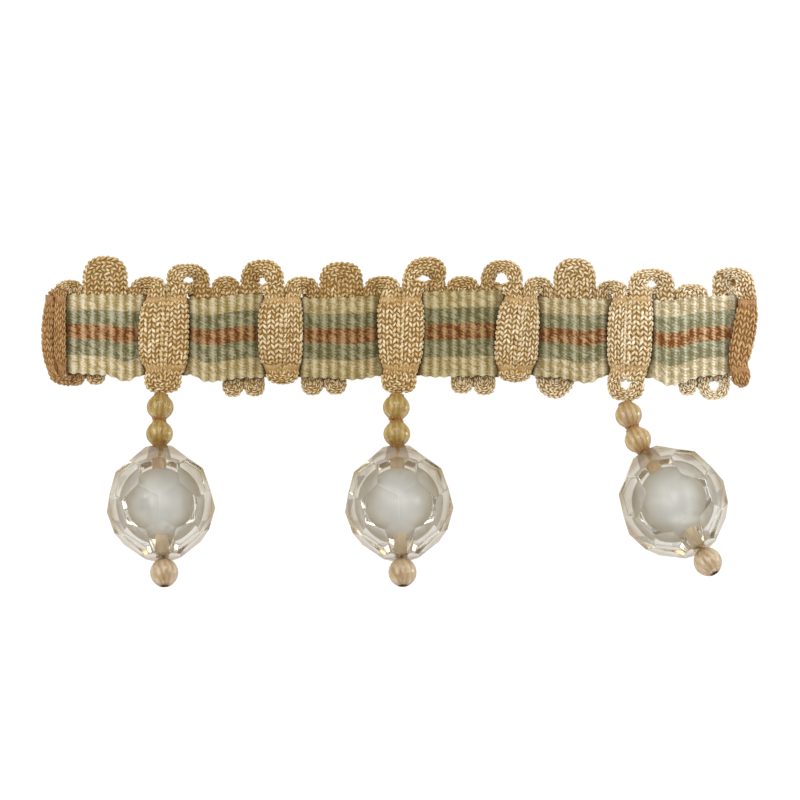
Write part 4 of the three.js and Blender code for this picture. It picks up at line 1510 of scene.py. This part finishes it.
def model_bead(radius, half_length, bore, flutes=0, twist=0.0, collar=0.0):
    """A bored bead with its hole along Z: a ball with grooves drawn in, poles opened and any collars flat."""
    segments = flutes * FLUTE_STEPS if flutes else PLAIN_SEGMENTS
    sphere = bpy.ops.mesh.primitive_uv_sphere_add
    bead = start_shape(sphere, segments=segments, ring_count=BEAD_RINGS, radius=radius)
    edit_shape()
    bpy.ops.transform.resize(value=(1, 1, half_length / radius))
    for step in range(1, FLUTE_STEPS if flutes else 0):
        groove = 0.5 - 0.5 * math.cos(2 * math.pi * step / FLUTE_STEPS)
        drawn = 1 - FLUTE_DEPTH * groove / radius
        pick("VERT", lambda spot: on_meridian(spot.co, segments, step))
        bpy.ops.transform.resize(value=(drawn, drawn, 1), center_override=(0, 0, 0))
    pick("FACE", lambda face: face.calc_center_median().xy.length < bore / 2)
    bpy.ops.mesh.delete(type="FACE")
    for way in (1, -1) if collar else ():
        pick("VERT", lambda spot: spot.co.xy.length < collar and spot.co.z * way > 0)
        bpy.ops.transform.resize(value=(1, 1, 0), center_override=(0, 0, way * COLLAR_END))
    pick("EDGE", lambda edge: edge.is_boundary)
    bpy.ops.mesh.bridge_edge_loops()
    close_shape()
    bpy.ops.object.shade_smooth_by_angle(angle=SHARP_ANGLE)
    spots = np.array([vertex.co for vertex in bead.data.vertices])
    turn = np.arctan2(spots[:, 1], spots[:, 0]) + twist * spots[:, 2]
    note_values(bead.data, {
        "groove": 0.5 - 0.5 * np.cos(flutes * turn),
        "end": np.clip(np.abs(spots[:, 2]) / half_length, 0, 1),
    })
    return bead


def facet_normal(latitude, place):
    turn = 2 * math.pi * place / FACETS_ROUND
    flat = math.cos(latitude)
    return Vector((flat * math.cos(turn), flat * math.sin(turn), math.sin(latitude)))


def crystal_normals():
    """Four staggered rings of facets and two caps."""
    normals = [Vector((0, 0, 1)), Vector((0, 0, -1))]
    for k in range(FACETS_ROUND):
        normals.append(facet_normal(WAIST_LATITUDE, k))
        normals.append(facet_normal(-WAIST_LATITUDE, k + 0.5))
        normals.append(facet_normal(SHOULDER_LATITUDE, k + 0.5))
        normals.append(facet_normal(-SHOULDER_LATITUDE, k))
    return normals


def model_crystal():
    """A block cut back facet by facet and drawn out along its hole, with polished edges and bored caps."""
    crystal = start_shape(bpy.ops.mesh.primitive_cube_add, size=3 * CRYSTAL_RADIUS)
    edit_shape()
    for normal in crystal_normals():
        bpy.ops.mesh.select_all(action="SELECT")
        bpy.ops.mesh.bisect(
            plane_co=normal * CRYSTAL_RADIUS, plane_no=normal, use_fill=True, clear_outer=True,
        )
    bpy.ops.mesh.select_all(action="SELECT")
    bpy.ops.mesh.remove_doubles(threshold=CRYSTAL_WELD)
    bpy.ops.transform.resize(value=(1, 1, CRYSTAL_STRETCH), center_override=(0, 0, 0))
    bpy.ops.mesh.select_mode(type="EDGE")
    bpy.ops.mesh.select_all(action="SELECT")
    bpy.ops.mesh.bevel(offset=CRYSTAL_BEVEL, segments=2, affect="EDGES")
    hole_depth = CRYSTAL_RADIUS * CRYSTAL_STRETCH - PEARL_HOLD * PEARL_RADIUS
    for pole in (1, -1):
        pick("FACE", lambda face: face.normal.z * pole > CAP_LEVEL and face.calc_area() > LEAST_CAP_AREA)
        cap = [v for v in bmesh.from_edit_mesh(crystal.data).verts if v.select]
        inradius = min(v.co.xy.length for v in cap) * math.cos(math.pi / FACETS_ROUND)
        bpy.ops.mesh.inset(thickness=inradius - LARGE_BORE / 2)
        bpy.ops.mesh.extrude_region_move(TRANSFORM_OT_translate={"value": (0, 0, -pole * hole_depth)})
    close_shape()
    for face in crystal.data.polygons:
        reach = max(crystal.data.vertices[i].co.xy.length for i in face.vertices)
        face.material_index = 1 if reach < BORE_REACH * LARGE_BORE else 0
    return crystal


def copy_of(model, name, place):
    """A named copy with its own mesh, with its place in it."""
    mesh = model.data.copy()
    mesh.name = name
    mesh.transform(Matrix.Scale(MM, 4) @ place)
    return new_object(name, mesh)


def build_drops(finishes):
    """Three drops: thread, two small beads, the crystal with its pearl, and the end bead."""
    small = model_bead(SMALL_RADIUS, SMALL_HALF_LENGTH, SMALL_BORE, FLUTES, collar=COLLAR_RADIUS)
    end = model_bead(END_RADIUS, END_HALF_LENGTH, SMALL_BORE, FLUTES, twist=END_TWIST)
    pearl = model_bead(PEARL_RADIUS, PEARL_RADIUS, LARGE_BORE)
    crystal = model_crystal()
    for number, drop in enumerate(DROPS, start=1):
        at = drop_places(drop)
        axis = at["lower"] - at["end"]
        axis.z = -math.tan(rest_pose()[0]) * axis.xy.length
        sunk = at["loop"] + (at["loop"] - at["upper"]).normalized() * THREAD_SINK
        tail = at["end"] - axis.normalized()
        line = [sunk, at["upper"], at["lower"], at["crystal"], at["end"], tail]
        thread = join_parts(f"drop_thread_{number}", thread_tubes(line))
        set_down(thread, [finishes["thread"]], [f"thread_{number}"])
        upper_way = at["loop"] - at["lower"]
        lower_way = at["upper"] - at["crystal"]
        strung = [
            ("upper_bead", small, upper_way, at["upper"], ["amber"], "amber_bead", "bead_upper"),
            ("lower_bead", small, lower_way, at["lower"], ["amber"], "amber_bead", "bead_lower"),
            ("end_stop_bead", end, axis, at["end"], ["tan"], "end_bead", "bead_end"),
            ("faceted_shell", crystal, axis, at["crystal"], ["clear", "bore"], "clear_acrylic", "crystal"),
            ("inner_pearl", pearl, axis, at["crystal"], ["pearl"], "pearl", "pearl"),
        ]
        for title, model, direction, place, looks, slot, node in strung:
            piece = copy_of(model, f"{title}_{number}", pose(direction, place))
            set_down(piece, [finishes[look] for look in looks], [f"{node}_{number}"])
    for model in (small, end, pearl, crystal):
        bpy.data.objects.remove(model)


# Stage

def build_floor(finish):
    floor = start_shape(bpy.ops.mesh.primitive_plane_add, size=FLOOR_SIZE)
    floor.name = "table_top"
    floor.data.materials.append(finish)


def add_softbox(name, place, aim, size, power, colour=(1.0, 1.0, 1.0)):
    """A soft light with a rectangular face, placed and aimed in metres."""
    light = bpy.data.lights.new(name, "AREA")
    light.shape = "RECTANGLE"
    light.size, light.size_y = size
    light.energy = power
    light.color = colour
    lamp = new_object(name, light)
    lamp.location = place
    lamp.rotation_euler = (Vector(aim) - Vector(place)).to_track_quat("-Z", "Y").to_euler()


def build_light():
    world = bpy.data.worlds.new("studio_air")
    world.use_nodes = True
    air = world.node_tree.nodes["Background"]
    air.inputs["Color"].default_value = WHITE
    air.inputs["Strength"].default_value = AIR_LIGHT
    bpy.context.scene.world = world
    add_softbox("overhead", (-0.25, 0.3, 0.9), (0, 0, 0), (0.7, 0.7), 7.8)
    add_softbox("right_end", (0.19, 0.03, 0.08), (0.05, 0.015, 0), (0.05, 0.05), 0.15, (0.82, 0.92, 1.0))
    for side in (-1, 1):
        add_softbox("back", (side * 0.5, 0.5, 0.39), (0, 0, 0.01), (0.25, 0.25), 1.5)
        add_softbox("front", (side * 0.4, -0.46, 0.09), (0, 0, 0.01), (0.4, 0.22), 1.6)


def build_camera():
    """Straight above, with the photograph's upper edge towards the heading loops."""
    lens = bpy.data.cameras.new("camera")
    view_width = PHOTO_PIXELS / PIXELS_PER_MM
    lens.sensor_width = SENSOR
    lens.lens = SENSOR * (CAMERA_RISE - PHOTO_PLANE) / view_width
    lens.clip_start = 0.01
    camera = new_object("camera", lens)
    camera.location = (PHOTO_CENTRE[0] * MM, PHOTO_CENTRE[1] * MM, CAMERA_RISE * MM)
    bpy.context.scene.camera = camera


def main():
    scene = bpy.context.scene
    scene.view_settings.view_transform = "Standard"
    scene.cycles.max_bounces = 28
    scene.cycles.glossy_bounces = 20
    scene.cycles.transmission_bounces = 28
    build_camera()
    build_light()
    build_floor(light_table())
    yarns = {"yarn": gimp_yarn(), "core": core_yarn()}
    leg = model_leg()
    left = table_rings([*LEFT_SEALED, joined_row(LEFT_SEALED[-1])])
    right = table_rings([joined_row(RIGHT_SEALED[0]), *RIGHT_SEALED])
    build_cord("gimp", gimp_rings(), leg, yarns, "gimp", GIMP_SEED)
    build_cord("left_seal", left, leg, yarns, "sealed_end_left", LEFT_SEED, sealed=True)
    build_cord("right_seal", right, leg, yarns, "sealed_end_right", RIGHT_SEED, sealed=True)
    build_seams(leg, yarns)
    build_ribbon(ribbon_weave())
    build_bands(binding_band())
    build_drops({
        "thread": drop_thread(),
        "amber": amber_acrylic(),
        "tan": tan_acrylic(),
        "clear": clear_acrylic(),
        "bore": frosted_bore(),
        "pearl": pearl_coat(),
    })


main()
